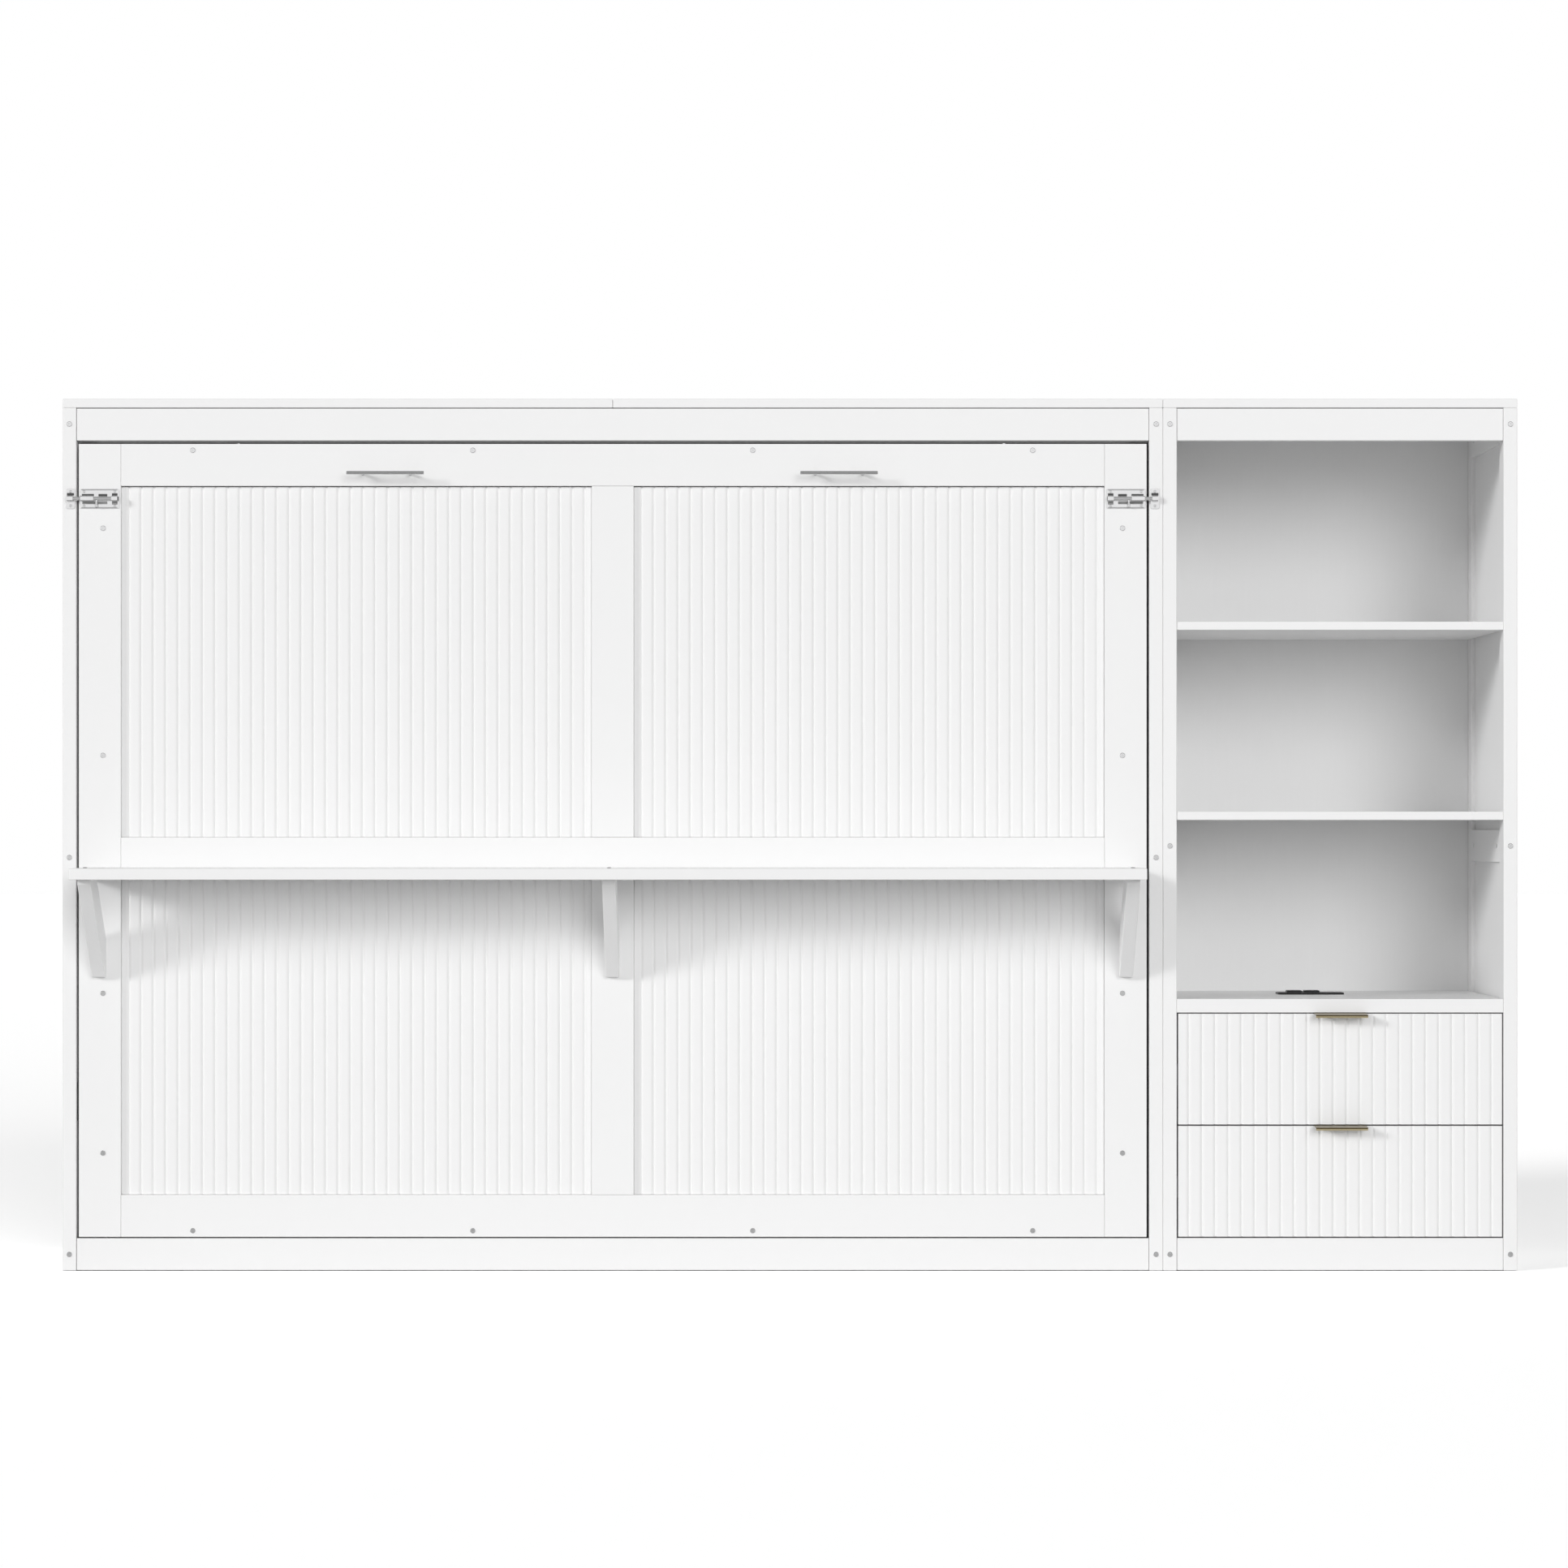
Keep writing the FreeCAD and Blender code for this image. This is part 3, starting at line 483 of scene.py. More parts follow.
painted("bed_bottom_apron_painted", [carried(bevel, aprons["bed"], aprons["ease"], "x")], "cabinet",
        "bed_bottom_apron")
painted("bed_top_joist_painted", [board(about(bedMiddle, joist["width"]), joist["depth"], joist["z"])],
        "cabinet", "bed_top_joist")
for name, pieceName, node in (("bed", "bed_backs_faced", "bed_back_panels"),
                              ("bookcase", "bookcase_back_faced", "bookcase_back_panel")):
    boards = [board(x, backs["depth"], backs[name + "Z"], backs["ease"]) for x in backs[name]]
    makePiece(pieceName, boards, backWhite, "cabinet", [node])
print("tops, aprons and backs done")

# Door: frame members with eased edges, fluted panels set back in them.
door = {"x": (-1437.0, 721.0), "z": (68.3, 1671.0), "joint": 0.3, "member": 85.0, "rail": (791.0, 876.0),
        "thickness": 28.0, "ease": 0.9}
doorPanel = {"depth": (8, 17), "pitch": 24.9, "ends": 1.8, "headGap": 1.35}
flute = {"width": 7.4, "depth": 2.9, "shoulder": 6.0, "valley": 0.6, "rim": 1.6, "backEase": 0.6}


# Fluted face: flat strips with V grooves at an even pitch about the middle, shoulders and valleys rounded.
def fluted(x, depth, z, pitch, ends):
    front, back = depth
    count = int((x[1] - x[0]) / pitch)
    centre = sum(x) / 2 + (np.arange(count) - (count - 1) / 2) * pitch
    half = flute["width"] / 2
    across = np.stack([centre - half, centre, centre + half], -1).reshape(-1)
    inward = np.tile([front, front + flute["depth"], front], count)
    bend = np.tile([flute["shoulder"], flute["valley"], flute["shoulder"]], count)
    corners = np.concatenate([[(x[0], front)], np.stack([across, inward], -1),
                              [(x[1], front), (x[1], back), (x[0], back)]])
    radius = np.concatenate([[flute["rim"]], bend, [flute["rim"], flute["backEase"], flute["backEase"]]])
    return carried(easedOutline(corners, radius), z, ends, "z")


def jointed(span):  # a member's length, short of its neighbours by the joint
    return span[0] + door["joint"], span[1] - door["joint"]


middleStile = about(bedMiddle, door["member"])
between = (door["x"][0] + door["member"], door["x"][1] - door["member"])
lowerOpening = (door["z"][0] + door["member"], door["rail"][0])
upperOpening = (door["rail"][1], door["z"][1] - door["member"])
doorMembers = {
    "door_stiles": [((door["x"][0], between[0]), door["z"]), ((between[1], door["x"][1]), door["z"])],
    "door_top_rail": [(jointed(between), (upperOpening[1], door["z"][1]))],
    "door_middle_rail": [(jointed(between), door["rail"])],
    "door_bottom_rail": [(jointed(between), (door["z"][0], lowerOpening[0]))],
    "door_centre_stiles": [(middleStile, jointed(lowerOpening)), (middleStile, jointed(upperOpening))],
}
for name, spans in doorMembers.items():
    members = [board(x, (0, door["thickness"]), z, door["ease"]) for x, z in spans]
    painted(name + "_painted", members, "bed", name)
panels = []
for x in ((between[0], middleStile[0]), (middleStile[1], between[1])):
    for low, high in (lowerOpening, upperOpening):
        z = (low, high - doorPanel["headGap"])
        panels.append(fluted(x, doorPanel["depth"], z, doorPanel["pitch"], doorPanel["ends"]))
painted("door_panels_fluted", panels, "bed", "door_panels")
print("door done")

# Bed box behind the door; the end rails keep their bored solids.
bedBox = {"x": (-1401.0, 685.0), "inner": (-1375.0, 659.0), "depth": (28, 190),
          "longRails": ((68, 94), (1645, 1671))}
cleats = {"depth": (28, 46), "z": ((94, 124), (1615, 1645), (803.5, 863.5)), "ease": 1.5}
slats = {"count": 13, "width": 70.0, "margin": 40.0, "depth": (46, 64), "z": (95, 1644), "ease": 2.2}
boards = [board(bedBox["x"], bedBox["depth"], z) for z in bedBox["longRails"]]
painted("bed_long_rails_painted", boards, "bed", "bed_long_rails")
boards = [board(bedBox["inner"], cleats["depth"], z, cleats["ease"]) for z in cleats["z"]]
makePiece("slat_cleats_planed", boards, cleatPine, "bed", ["slat_cleats"])
slatStarts = np.linspace(bedBox["inner"][0] + slats["margin"],
                         bedBox["inner"][1] - slats["margin"] - slats["width"], slats["count"])
boards = [board((x, x + slats["width"]), slats["depth"], slats["z"], slats["ease"]) for x in slatStarts]
makePiece("bed_slats_planed", boards, slatPine, "bed", ["bed_slats"])

# Front shelf on diagonal braces, whose outline is given by depth and height.
shelf = {"x": (-1419.0, 703.0), "z": (792.0, 815.0), "depth": (-250.0, 0.0), "ease": 2.0}
bracket = {"inset": 24.0, "width": 27.0, "ease": 1.6,
           "outline": ((0, 594), (-14, 594), (-205, 782), (-205, 792), (-125, 792), (0, 669))}
painted("front_shelf_painted", [board(shelf["x"], shelf["depth"], shelf["z"], shelf["ease"])], "bed",
        "front_shelf")
bracketOutline = easedOutline(bracket["outline"], bracket["ease"])
bracketMiddles = (shelf["x"][0] + bracket["inset"], bedMiddle, shelf["x"][1] - bracket["inset"])
braces = [carried(bracketOutline, about(x, bracket["width"]), bracket["ease"], "x") for x in bracketMiddles]
painted("shelf_brackets_painted", braces, "bed", "shelf_brackets")
print("bed box and shelf done")

# Bar handles: a bar on two posts with a small foot collar.
handle = {"offset": 457.0, "z": 1610.0, "reach": 34.0, "bar": 3.5, "length": 156.0, "barEase": 0.7,
          "spacing": 96.0, "post": 2.8, "postLength": 33.0, "collar": 3.4, "collarHeight": 1.6,
          "taperEnd": 3.4, "postEase": (0, 0.3, 0.6, 0.8, 0.2, 0)}


def barHandle(middle):  # a turned bar across, and at each foot a turned outline of collar, taper and post
    start = (middle - handle["length"] / 2, -handle["reach"], handle["z"])
    parts = [rod(start, (1, 0, 0), handle["bar"], handle["length"], handle["barEase"], sides=36)]
    profile = [(0, 0), (handle["collar"], 0), (handle["collar"], handle["collarHeight"]),
               (handle["post"], handle["taperEnd"]), (handle["post"], handle["postLength"]),
               (0, handle["postLength"])]
    for side in (-1, 1):
        foot = (middle + side * handle["spacing"] / 2, 0, handle["z"])
        parts.append(turned(profile, handle["postEase"], foot, (0, -1, 0)))
    return parts


handleBars = barHandle(bedMiddle - handle["offset"]) + barHandle(bedMiddle + handle["offset"])
makePiece("pull_handles_turned", handleBars, barSteel, "bed", ["pull_handles"])

# Barrel bolts: beaded plate, two pressed straps, keeper on the post, a rod with a flared knob.
# Heights of windows, beads and screws count from the bolt's axis.
latch = {"z": 1560.0, "axis": -7.0, "sheet": 1.6, "corner": 2.2, "ease": 0.4, "sink": 0.1,
         "plate": (-1434.4, -1355.4), "height": 39.5, "plateScrews": ((-1426.0, -1364.0), 14.6),
         "keeper": (-1461.9, -1445.0), "keeperHeight": 41.0, "keeperScrews": 14.4, "keeperMargin": 2.5,
         "screw": (2.9, 1.0)}
strap = {"front": (-1432.4, -1406.0), "rear": (-1369.7, -1357.4), "outer": 5.6, "inner": 4.3, "legs": -1.4,
         "radius": (0.3, 2.4, 2.4, 0.3, 0.3, 1.4, 1.4, 0.3), "ease": 0.25}
plateBead = {"start": -1431.4, "length": 73.0, "radius": 1.1, "height": 18.2, "ease": 0.5}
# The windows are painted slot shading: painted shade above the straps and in the keeper, a painted lit grey
# below the straps.
windows = {"depth": (-1.72, -1.0), "corner": 0.7, "ease": 0.1,
           "upper": (((-1430.5, -1406), (5.2, 9.6)), ((-1397, -1379), (4.6, 9.6)),
                     ((-1369.7, -1358.4), (5.2, 11.0))),
           "lower": (((-1429.5, -1379), (-11.2, -5.4)), ((-1369.7, -1358.4), (-12.0, -5.4))),
           "keeper": (((-1460.6, -1446.3), (6.2, 11.6)),)}
boltRod = {"x": -1460.0, "length": 96.7, "radius": 4.0, "tip": 3.2, "taper": 1.2,
           "ease": (0, 0.5, 0.5, 0.5, 0), "knob": -1400.4, "knobEase": (0, 0.2, 1.5, 1.5, 0.7, 0),
           "knobProfile": ((0, 2), (2.2, 2), (2.2, 7), (3.2, 15), (3.2, 17), (0, 17))}
plateFace = latch["sink"] - latch["sheet"]  # beads and screws start a little inside the sheet
screw = {"crown": 0.8, "recess": 0.55, "floor": 0.45, "lobes": 0.5656,  # shares of a head's radius
         "floorRise": 0.25, "dome": 0.4}  # shares of its rise


# Strap section carried along the bolt: a U over it, flat in front with rounded shoulders.
def strapPart(x):
    legs, outer, inner = strap["legs"], strap["outer"], strap["inner"]
    crest, hollow = latch["axis"] - outer, latch["axis"] - inner
    corners = [(legs, outer), (crest, outer), (crest, -outer), (legs, -outer),
               (legs, -inner), (hollow, -inner), (hollow, inner), (legs, inner)]
    section = easedOutline(np.array(corners) + np.array([0, latch["z"]]), strap["radius"], 4)
    return carried(section, x, strap["ease"], "x")


def sheetPart(x, height):  # pressed sheet: a rectangle with rounded corners, carried through its thickness
    outline = easedOutline(rectangle(x, about(latch["z"], height)), latch["corner"], 4)
    return carried(outline, (-latch["sheet"], 0), latch["ease"], "y")


# A window is a thin sheet whose colour paints the light and shade seen in a stamped slot; no hole is cut.
def windowPart(x, heights):  # stamped window: a small rectangle that stands a hair proud of the sheet
    z = (latch["z"] + heights[0], latch["z"] + heights[1])
    return carried(easedOutline(rectangle(x, z), windows["corner"]), windows["depth"], windows["ease"], "y")


def screwHead(origin, axis, radius, rise):  # a low dome, turned, with a cross recess
    low = rise * screw["floorRise"]
    profile = [(0, 0), (radius, 0), (radius * screw["crown"], rise), (radius * screw["recess"], rise),
               (radius * screw["floor"], low), (0, low)]
    return turned(profile, [0, 0.1, rise * screw["dome"], 0.08, 0.05, 0], origin, axis, sides=24,
                  socketRadius=radius * screw["lobes"], lobes=cross)


def latchScrews(middles, height):
    return [screwHead((x, plateFace, latch["z"] + side * height), (0, -1, 0), *latch["screw"])
            for x in middles for side in (-1, 1)]


latchPlate = [sheetPart(latch["plate"], latch["height"]), strapPart(strap["front"]), strapPart(strap["rear"])]
for side in (-1, 1):
    start = (plateBead["start"], plateFace, latch["z"] + side * plateBead["height"])
    latchPlate.append(rod(start, (1, 0, 0), plateBead["radius"], plateBead["length"], plateBead["ease"],
                          sides=12))
latchPlate += latchScrews(*latch["plateScrews"])
makePiece("bolt_plates_pressed", pair(latchPlate), zinc, "bed", ["bolt_plates"])
# Upper and keeper windows take the painted shade, the lower windows the painted lit grey.
for pieceName, row, finish, body in (("bolt_upper_slot_shade", "upper", slotShadePaint, "bed"),
                                     ("bolt_lower_slot_lit", "lower", slotLitPaint, "bed"),
                                     ("keeper_upper_slot_shade", "keeper", slotShadePaint, "cabinet")):
    makePiece(pieceName, pair([windowPart(*spans) for spans in windows[row]]), finish, body, ())
keeperStrap = (latch["keeper"][0] + latch["keeperMargin"], latch["keeper"][1] - latch["keeperMargin"])
keeper = [sheetPart(latch["keeper"], latch["keeperHeight"]), strapPart(keeperStrap)]
keeper += latchScrews([sum(latch["keeper"]) / 2], latch["keeperScrews"])
makePiece("bolt_keepers_pressed", pair(keeper), zinc, "cabinet", ["bolt_keepers"])
rodProfile = [(0, 0), (boltRod["tip"], 0), (boltRod["radius"], boltRod["taper"]),
              (boltRod["radius"], boltRod["length"]), (0, boltRod["length"])]
boltParts = [turned(rodProfile, boltRod["ease"], (boltRod["x"], latch["axis"], latch["z"]), (1, 0, 0)),
             turned(boltRod["knobProfile"], boltRod["knobEase"],
                    (boltRod["knob"], latch["axis"], latch["z"]), (0, 0, -1))]
makePiece("left_bolt_turned", boltParts, zinc, "left_bolt", ["left_bolt_rod"])
makePiece("right_bolt_turned", [mirrored(part) for part in boltParts], zinc, "right_bolt", ["right_bolt_rod"])
print("handles and barrel bolts done")

# Pivots and gas struts; plates, anchors and brackets keep their solids.
# Profiles give radius and distance along the axis, and each Ease the radius at every corner of its profile.
pivot = {"side": -1442.0, "rail": -1401.0, "depth": 92.5, "z": 342.5,
         "pin": ((0, 0), (8, 0), (8, 3), (13, 3), (13, 7), (8, 7), (8, 67), (0, 67)),
         "pinEase": (0, 0.3, 0, 0.6, 0.6, 0, 1.0, 0),
         "bush": ((8.08, -3), (20, -3), (20, 0), (12, 0), (12, 26), (8.08, 26)),
         "bushEase": (0.3, 0.8, 0.4, 0.1, 0.4, 0.3)}
strut = {"x": -1421.5, "anchor": (300.0, 835.0), "foot": (122.5, 152.5),
         "tube": ((0, 22), (11, 22), (11, 414), (10.2, 416), (10.2, 420), (11, 422), (11, 430), (4.08, 430),
                  (4.08, 140), (0, 140)),
         "tubeEase": (0, 1.2, 1, 1, 1, 1, 1.2, 0.3, 0.3, 0),
         "neckStart": 9, "neck": 5.0, "neckLength": 15.0, "neckEase": 0.3,
         "eye": ((5.08, -6), (12, -6), (12, 6), (5.08, 6)), "eyeEase": 0.8,
         "rod": 4.0, "rodStart": 400.0, "rodEase": 0.4, "footEye": 12.0, "footEyeEase": 0.9}
pinFoot, bushFoot = ((pivot[end], pivot["depth"], pivot["z"]) for end in ("side", "rail"))
pinPart = turned(pivot["pin"], pivot["pinEase"], pinFoot, (1, 0, 0), sides=40)
makePiece("pivot_pins_turned", pair([pinPart]), barSteel, "cabinet", ["pivot_pins"])
bushPart = turned(pivot["bush"], pivot["bushEase"], bushFoot, (1, 0, 0), sides=40)
makePiece("pivot_bushes_moulded", pair([bushPart]), bushBlack, "bed", ["pivot_bushes"])
anchor = np.array([strut["x"], *strut["anchor"]])
foot = np.array([strut["x"], *strut["foot"]])
strutLength = np.linalg.norm(foot - anchor)
strutWay = (foot - anchor) / strutLength
neckStart, rodStart = anchor + strutWay * strut["neckStart"], anchor + strutWay * strut["rodStart"]
cylinders = [turned(strut["tube"], strut["tubeEase"], anchor, strutWay, sides=32),
             rod(neckStart, strutWay, strut["neck"], strut["neckLength"], strut["neckEase"]),
             turned(strut["eye"], strut["eyeEase"], anchor, (1, 0, 0), sides=36)]
makePiece("strut_cylinders_turned", pair(cylinders), powderBlack, "strut_cylinders", ["strut_cylinders"])
footEye = strut["footEye"]  # as wide as its radius
eyeStart = foot - np.array([footEye / 2, 0, 0])
strutRods = [rod(rodStart, strutWay, strut["rod"], strutLength - strut["rodStart"], strut["rodEase"]),
             rod(eyeStart, (1, 0, 0), footEye, footEye, strut["footEyeEase"], sides=36)]
makePiece("strut_rods_turned", pair(strutRods), barSteel, "strut_rods", ["strut_rods"])
print("pivots and struts done")

# Bookcase: shelves, counter and the outlet let into it.
case = {"x": (782.0, 1442.0), "middle": 1112.0, "counter": (521.5, 549.5), "counterEase": 1.6,
        "counterDepth": (0, carcass["backFace"]), "shelves": ((911, 928), (1295, 1312)),
        "shelfDepth": (2, carcass["backFace"])}
outlet = {"x": (1013.0, 1151.0), "depth": (250.0, 310.0), "top": 549.5, "plate": 4.0, "corner": 8.0,
          "pads": (1033.0, 1069.0), "pad": (32.0, 38.0), "padCorner": 4.0, "padSink": 3.0, "rise": 4.0,
          "ease": 1.8, "body": ((1020.0, 1144.0), (257, 303), (515.5, 550.0)), "bodyEase": 0.6}
slots = {"depth": 3, "over": 2, "blade": (2.2, 8), "bladeOffset": (6.35, -3), "earth": 2.6, "earthOffset": 8,
         "ports": (1108.0, 1127.0), "port": (13, 6), "ease": 0.1, "sharp": 0.5}
boards = [board(case["x"], case["shelfDepth"], z) for z in case["shelves"]]
painted("bookcase_shelves_painted", boards, "cabinet", "bookcase_shelves")
boards = [board(case["x"], case["counterDepth"], case["counter"], case["counterEase"])]
painted("counter_painted", boards, "cabinet", "counter")


def rounded(x, depth, z, corner):  # low block: a rectangle with rounded corners carried up, its ends eased
    return carried(easedOutline(rectangle(x, depth), corner, 5), z, outlet["ease"], "z", 3)


def cutOut(piece, cutter):  # takes the cutter's volume out of the piece for good
    change = piece.modifiers.new("slots", "BOOLEAN")
    change.object, change.operation, change.solver = cutter, "DIFFERENCE", "EXACT"
    change.use_self = True
    made = bpy.data.meshes.new_from_object(piece.evaluated_get(bpy.context.evaluated_depsgraph_get()))
    piece.modifiers.clear()
    piece.data = made
    bpy.data.objects.remove(cutter)
    made.set_sharp_from_angle(angle=slots["sharp"])  # radians


outletMiddle = sum(outlet["depth"]) / 2
coverTop = outlet["top"] + outlet["plate"]
padTop = coverTop + outlet["rise"]
padCut = (padTop - slots["depth"], padTop + slots["over"])
coverCut = (coverTop - slots["depth"], coverTop + slots["over"])
outletParts = [rounded(outlet["x"], outlet["depth"], (outlet["top"], coverTop), outlet["corner"])]
slotCutters = []
for start in outlet["pads"]:  # each pad has two blade slots and an earth hole
    padX, padDepth = (start, start + outlet["pad"][0]), about(outletMiddle, outlet["pad"][1])
    outletParts.append(rounded(padX, padDepth, (coverTop - outlet["padSink"], padTop), outlet["padCorner"]))
    bladeDepth = about(outletMiddle + slots["bladeOffset"][1], slots["blade"][1])
    for side in (-1, 1):
        bladeX = about(sum(padX) / 2 + side * slots["bladeOffset"][0], slots["blade"][0])
        slotCutters.append(board(bladeX, bladeDepth, padCut, slots["ease"]))
    earth = (sum(padX) / 2, outletMiddle + slots["earthOffset"], padCut[0])
    slotCutters.append(rod(earth, (0, 0, 1), slots["earth"], padCut[1] - padCut[0], slots["ease"]))
for start in slots["ports"]:
    portX, portDepth = (start, start + slots["port"][0]), about(outletMiddle, slots["port"][1])
    slotCutters.append(board(portX, portDepth, coverCut, slots["ease"]))
outletParts.append(board(*outlet["body"], outlet["bodyEase"]))
outletPiece = makePiece("power_outlet_moulded", outletParts, plasticBlack, "cabinet", ["power_outlet"])
cutOut(outletPiece, makePiece("outlet_slots", slotCutters, plasticBlack, "cabinet"))
print("bookcase done")

# Drawers: fluted fronts, plain boxes, bent brass pulls over the top edge.
drawer = {"bases": {"lower_drawer": 68.0, "upper_drawer": 294.75}, "x": (784.9, 1439.4), "front": (0, 18),
          "foot": 0.75, "height": 224.75, "pitch": 26.6, "ends": 0.6, "box": (795.0, 1429.0),
          "length": (18.0, 448.0), "lift": 24.0, "boxHeight": 150.0, "wall": 12.0, "bottom": (10, 16),
          "bottomEase": 0.4}
pull = {"width": 105.0, "hold": 14.0, "reach": 34.0, "sheet": 1.6, "fall": 3.0, "ease": 0.4,
        "radius": (0.4, 0.4, 4.0, 0.5, 0.5, 4.0), "lip": 9.0, "bead": 2.4, "beadEase": 0.5}


def drawerBox(base):  # four walls, and a bottom let in between them
    low = base + drawer["lift"]
    z = (low, low + drawer["boxHeight"])
    left, right = drawer["box"]
    near, far = drawer["length"]
    inside = (left + drawer["wall"], right - drawer["wall"])
    room = (near + drawer["wall"], far - drawer["wall"])
    bottom = (low + drawer["bottom"][0], low + drawer["bottom"][1])
    return [board((left, inside[0]), (near, far), z), board((inside[1], right), (near, far), z),
            board(inside, (near, room[0]), z), board(inside, (room[1], far), z),
            board(inside, room, bottom, drawer["bottomEase"])]


def pullPlate(crown):  # bent sheet: flat on the front's top edge, then falling outwards, carried across
    top, front = crown + pull["sheet"], -pull["reach"]
    under = crown - pull["fall"] * (1 + pull["sheet"] / front)
    bent = easedOutline([(pull["hold"], crown), (pull["hold"], top), (0, top), (front, top - pull["fall"]),
                         (front, under), (0, crown)], pull["radius"], 3)
    return carried(bent, about(case["middle"], pull["width"]), pull["ease"], "x")


def pullBead(crown):  # round bead along the plate's lip
    start = (case["middle"] - pull["width"] / 2, -pull["reach"] + pull["bead"],
             crown + pull["sheet"] - pull["lip"] + pull["bead"])
    return rod(start, (1, 0, 0), pull["bead"], pull["width"], pull["beadEase"], sides=24)


for name, base in drawer["bases"].items():
    crown = base + drawer["height"]
    z = (base + drawer["foot"], crown)
    front = fluted(drawer["x"], drawer["front"], z, drawer["pitch"], drawer["ends"])
    painted(name + "_front_fluted", [front], name, name + "_front")
    makePiece(name + "_box_painted", drawerBox(base), boxWhite, name, [name + "_box"])
    # The plate wears the painted shade brass, the bead the plain brass.
    makePiece(name + "_pull_plate", [pullPlate(crown)], shadedBrass, name, [name + "_pull"])
    makePiece(name + "_pull_bead", [pullBead(crown)], brushedBrass, name, ())
print("drawers done")

# Connecting bolts with hexagonal sockets, barrel nuts in the side rails, screws in the shelf, pins behind.
# A head is given by its radius and rise.
boltHead = {"radius": 5.4, "rim": 0.8, "dome": 0.9, "rise": 1.5, "socket": 1.9, "draft": 0.05, "floor": 0.2,
            "socketEdge": 0.12, "ease": (0, 0.1, 0.5, 0.3, 0.15, 0.05, 0)}
barrelNut = {"depths": (88, 403), "head": (5.0, 0.6)}
doorBolt = {"stileX": (-1388.0, 672.0), "stileZ": (237.8, 560.9, 1041.4, 1500.6),
            "railX": bedMiddle + 565.7 * np.array([-1.5, -0.5, 0.5, 1.5]), "railZ": (81.0, 1658.0)}
shelfScrew = {"depth": -186, "head": (5.6, 1.9)}
backPin = {"head": (2.6, 0.7), "bedX": np.linspace(-1390, 674, 13), "bedZ": (63.0, 1681.0), "upright": 16.0,
           "uprightZ": np.linspace(190, 1560, 8), "caseX": np.linspace(830, 1394, 4),
           "caseZ": (63.0, 488.0, 919.5, 1303.5, 1720.0)}


def boltPart(x, depth, z, way):  # a domed head, turned, with a hexagonal socket
    radius, socket, rise, floor = (boltHead[key] for key in ("radius", "socket", "rise", "floor"))
    profile = [(0, 0), (radius, 0), (radius, boltHead["rim"]), (radius - boltHead["dome"], rise),
               (socket, rise), (socket - boltHead["draft"], floor), (0, floor)]
    return turned(profile, boltHead["ease"], (x, depth, z), (0, way, 0), sides=24,
                  socketRadius=socket + boltHead["socketEdge"], lobes=hexagon)


frameBolts, barrelNuts = [], []
for cabinet in cabinets.values():
    for outer, inward in ((cabinet["x"][0], 1), (cabinet["x"][1], -1)):
        middle, inner = outer + inward * carcass["post"] / 2, outer + inward * carcass["post"]
        for z in cabinet["bolted"]:
            frameBolts += [boltPart(middle, 0, z, -1), boltPart(middle, carcass["depth"], z, 1)]
            barrelNuts += [screwHead((inner, depth, z), (inward, 0, 0), *barrelNut["head"])
                           for depth in barrelNut["depths"]]
doorBolts = [boltPart(x, 0, z, -1) for x in doorBolt["stileX"] for z in doorBolt["stileZ"]]
doorBolts += [boltPart(x, 0, z, -1) for x in doorBolt["railX"] for z in doorBolt["railZ"]]
shelfScrews = [screwHead((x, shelfScrew["depth"], shelf["z"][1]), (0, 0, 1), *shelfScrew["head"])
               for x in bracketMiddles]
pinPlaces = [(x, z) for x in backPin["bedX"] for z in backPin["bedZ"]]
pinPlaces += [(bedMiddle + side * backPin["upright"], z) for side in (-1, 1) for z in backPin["uprightZ"]]
pinPlaces += [(x, z) for x in backPin["caseX"] for z in backPin["caseZ"]]
backPins = [screwHead((x, carcass["depth"], z), (0, 1, 0), *backPin["head"]) for x, z in pinPlaces]
for pieceName, parts, body in (("frame_bolts", frameBolts, "cabinet"), ("barrel_nuts", barrelNuts, "cabinet"),
                               ("door_bolts", doorBolts, "bed"), ("shelf_screws", shelfScrews, "bed"),
                               ("back_pins", backPins, "cabinet")):
    makePiece(pieceName, parts, zinc, body, ())
print("bolts, nuts, screws and pins done")

# Solids that stay as they are take these finishes.
keptSolids = (
    (white, ("bed_back_rails", "bookcase_back_rails", "bed_end_rails")),
    (powderBlack, ("pivot_plates", "strut_anchors", "strut_brackets")),
    (runnerZinc, ("runner_outer_rails", "upper_drawer_runner_middle", "upper_drawer_runner_inner",
                  "lower_drawer_runner_middle", "lower_drawer_runner_inner")),
)
for finish, names in keptSolids:
    for name in names:
        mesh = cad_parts[name].data
        mesh.materials.clear()
        mesh.materials.append(finish)
print("kept solids finished")

# Studio: a floor that shows white and keeps the shadow, a sky paler at the horizon, two soft suns.
# Metal sees a white horizon under a dark ceiling.
studio = {"floorX": (-40, 40), "floorY": (-40, 60), "floorZ": -0.0008, "floor": 0.70, "shown": 1.79,
          "horizon": 0.855, "zenith": 0.02, "behind": 0.3, "mirrorTop": 0.30, "mirrorBand": (0.20, 0.50)}
suns = {"right_softbox": {"azimuth": 17.5, "elevation": 14.5, "strength": 1.085, "spread": 28},
        "left_softbox": {"azimuth": -55, "elevation": 17, "strength": 1.235, "spread": 12}}
floorMesh = bpy.data.meshes.new("studio_floor")
floorCorners = [(x, y, studio["floorZ"]) for x, y in rectangle(studio["floorX"], studio["floorY"])]
floorMesh.from_pydata(floorCorners, [], [(0, 1, 2, 3)])
floor = bpy.data.objects.new("studio_floor", floorMesh)
scene.collection.objects.link(floor)
floor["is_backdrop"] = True
floorFinish = bpy.data.materials.new("studio_floor")
floorFinish.use_nodes = True
floorMesh.materials.append(floorFinish)
ground = Nodes(floorFinish.node_tree)
plain = ground.add("ShaderNodeBsdfDiffuse", {}, {"Color": tint((studio["floor"],) * 3)})
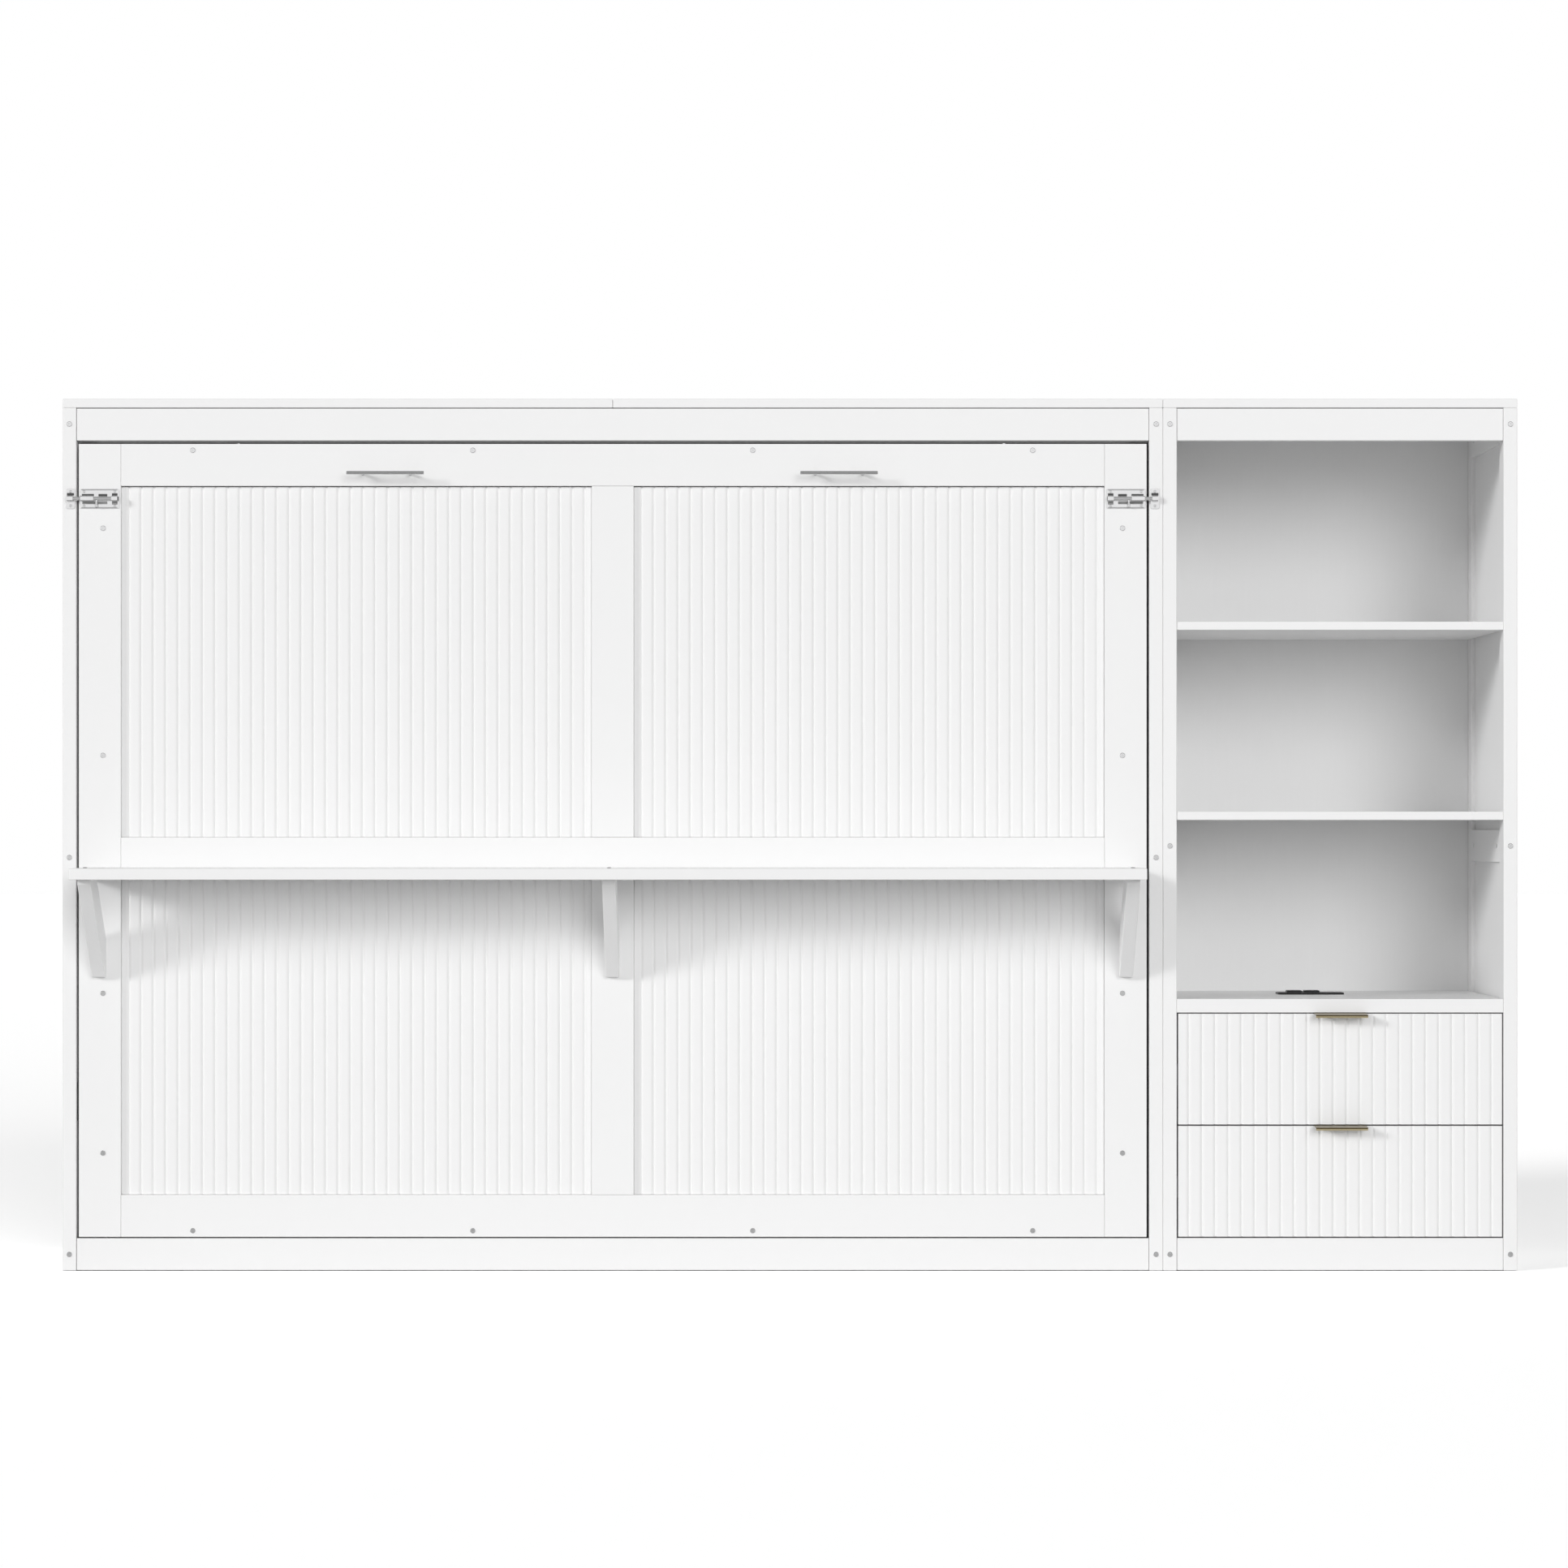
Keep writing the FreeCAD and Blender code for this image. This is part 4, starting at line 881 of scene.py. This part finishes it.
shown = ground.add("ShaderNodeBsdfDiffuse", {}, {"Color": tint((studio["shown"],) * 3)})
seenFloor = ground.add("ShaderNodeLightPath", {}, {}, "Is Camera Ray")
surface = ground.add("ShaderNodeMixShader", {}, {0: seenFloor, 1: plain, 2: shown})
ground.join(surface, "Material Output", "Surface")

scene.world = bpy.data.worlds.new("studio_sky")
scene.world.use_nodes = True
sky = Nodes(scene.world.node_tree)
way = sky.add("ShaderNodeTexCoord", {}, {}, "Generated")
height = sky.add("ShaderNodeSeparateXYZ", {}, {"Vector": way}, "Z")
rearward = sky.add("ShaderNodeSeparateXYZ", {}, {"Vector": way}, "Y")
lit = sky.add("ShaderNodeMapRange", {}, {"Value": height, "To Min": studio["horizon"],
                                         "To Max": studio["zenith"]})
lit = lit + sky.add("ShaderNodeMapRange", {}, {"Value": rearward, "To Min": 0.0, "To Max": studio["behind"]})
mirror = sky.add("ShaderNodeMapRange", {}, {"Value": height, "From Min": studio["mirrorBand"][0],
                                            "From Max": studio["mirrorBand"][1],
                                            "To Min": 1.0, "To Max": studio["mirrorTop"]})
direct, glossy, through = (sky.add("ShaderNodeLightPath", {}, {}, ray)
                           for ray in ("Is Camera Ray", "Is Glossy Ray", "Is Transmission Ray"))
level = lit + glossy * (mirror - lit)
seenSky = direct.sum("MAXIMUM", direct, through)
sky.join(level + seenSky * (1.0 - level), "Background", "Strength")
sky.join(tint((1, 1, 1)), "Background", "Color")
for name, lamp in suns.items():  # azimuth from the front, positive to the right
    light = bpy.data.lights.new(name, "SUN")
    light.energy, light.angle = lamp["strength"], math.radians(lamp["spread"])
    holder = bpy.data.objects.new(name, light)
    holder.rotation_euler = (math.radians(90 - lamp["elevation"]), 0, math.radians(lamp["azimuth"]))
    holder.visible_glossy = False
    scene.collection.objects.link(holder)

# Camera: level, square to the front, 9.3 m before the posts.
view = {"distance": 9.3, "height": 0.881, "millimetresPerPixel": 1.64, "pixels": 1932,
        "centre": (973.25, 1028.6), "sensor": 36.0, "farthest": 200.0}
camera = bpy.data.cameras.new("front_camera")
camera.sensor_width = view["sensor"]
camera.lens = view["sensor"] * view["distance"] * perMetre / (view["pixels"] * view["millimetresPerPixel"])
camera.shift_x = (view["pixels"] / 2 - view["centre"][0]) / view["pixels"]
camera.shift_y = (view["centre"][1] - view["pixels"] / 2) / view["pixels"]
camera.clip_end = view["farthest"]
cameraObject = bpy.data.objects.new("front_camera", camera)
cameraObject.location = (0.0, frontDepth / perMetre - view["distance"], view["height"])
cameraObject.rotation_euler = (math.pi / 2, 0, 0)
scene.collection.objects.link(cameraObject)
scene.camera = cameraObject
scene.view_settings.view_transform = "Standard"
print("studio and camera ready")

low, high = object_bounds()
print("pieces ready, box", [round(float(b - a), 4) for a, b in zip(low, high)])
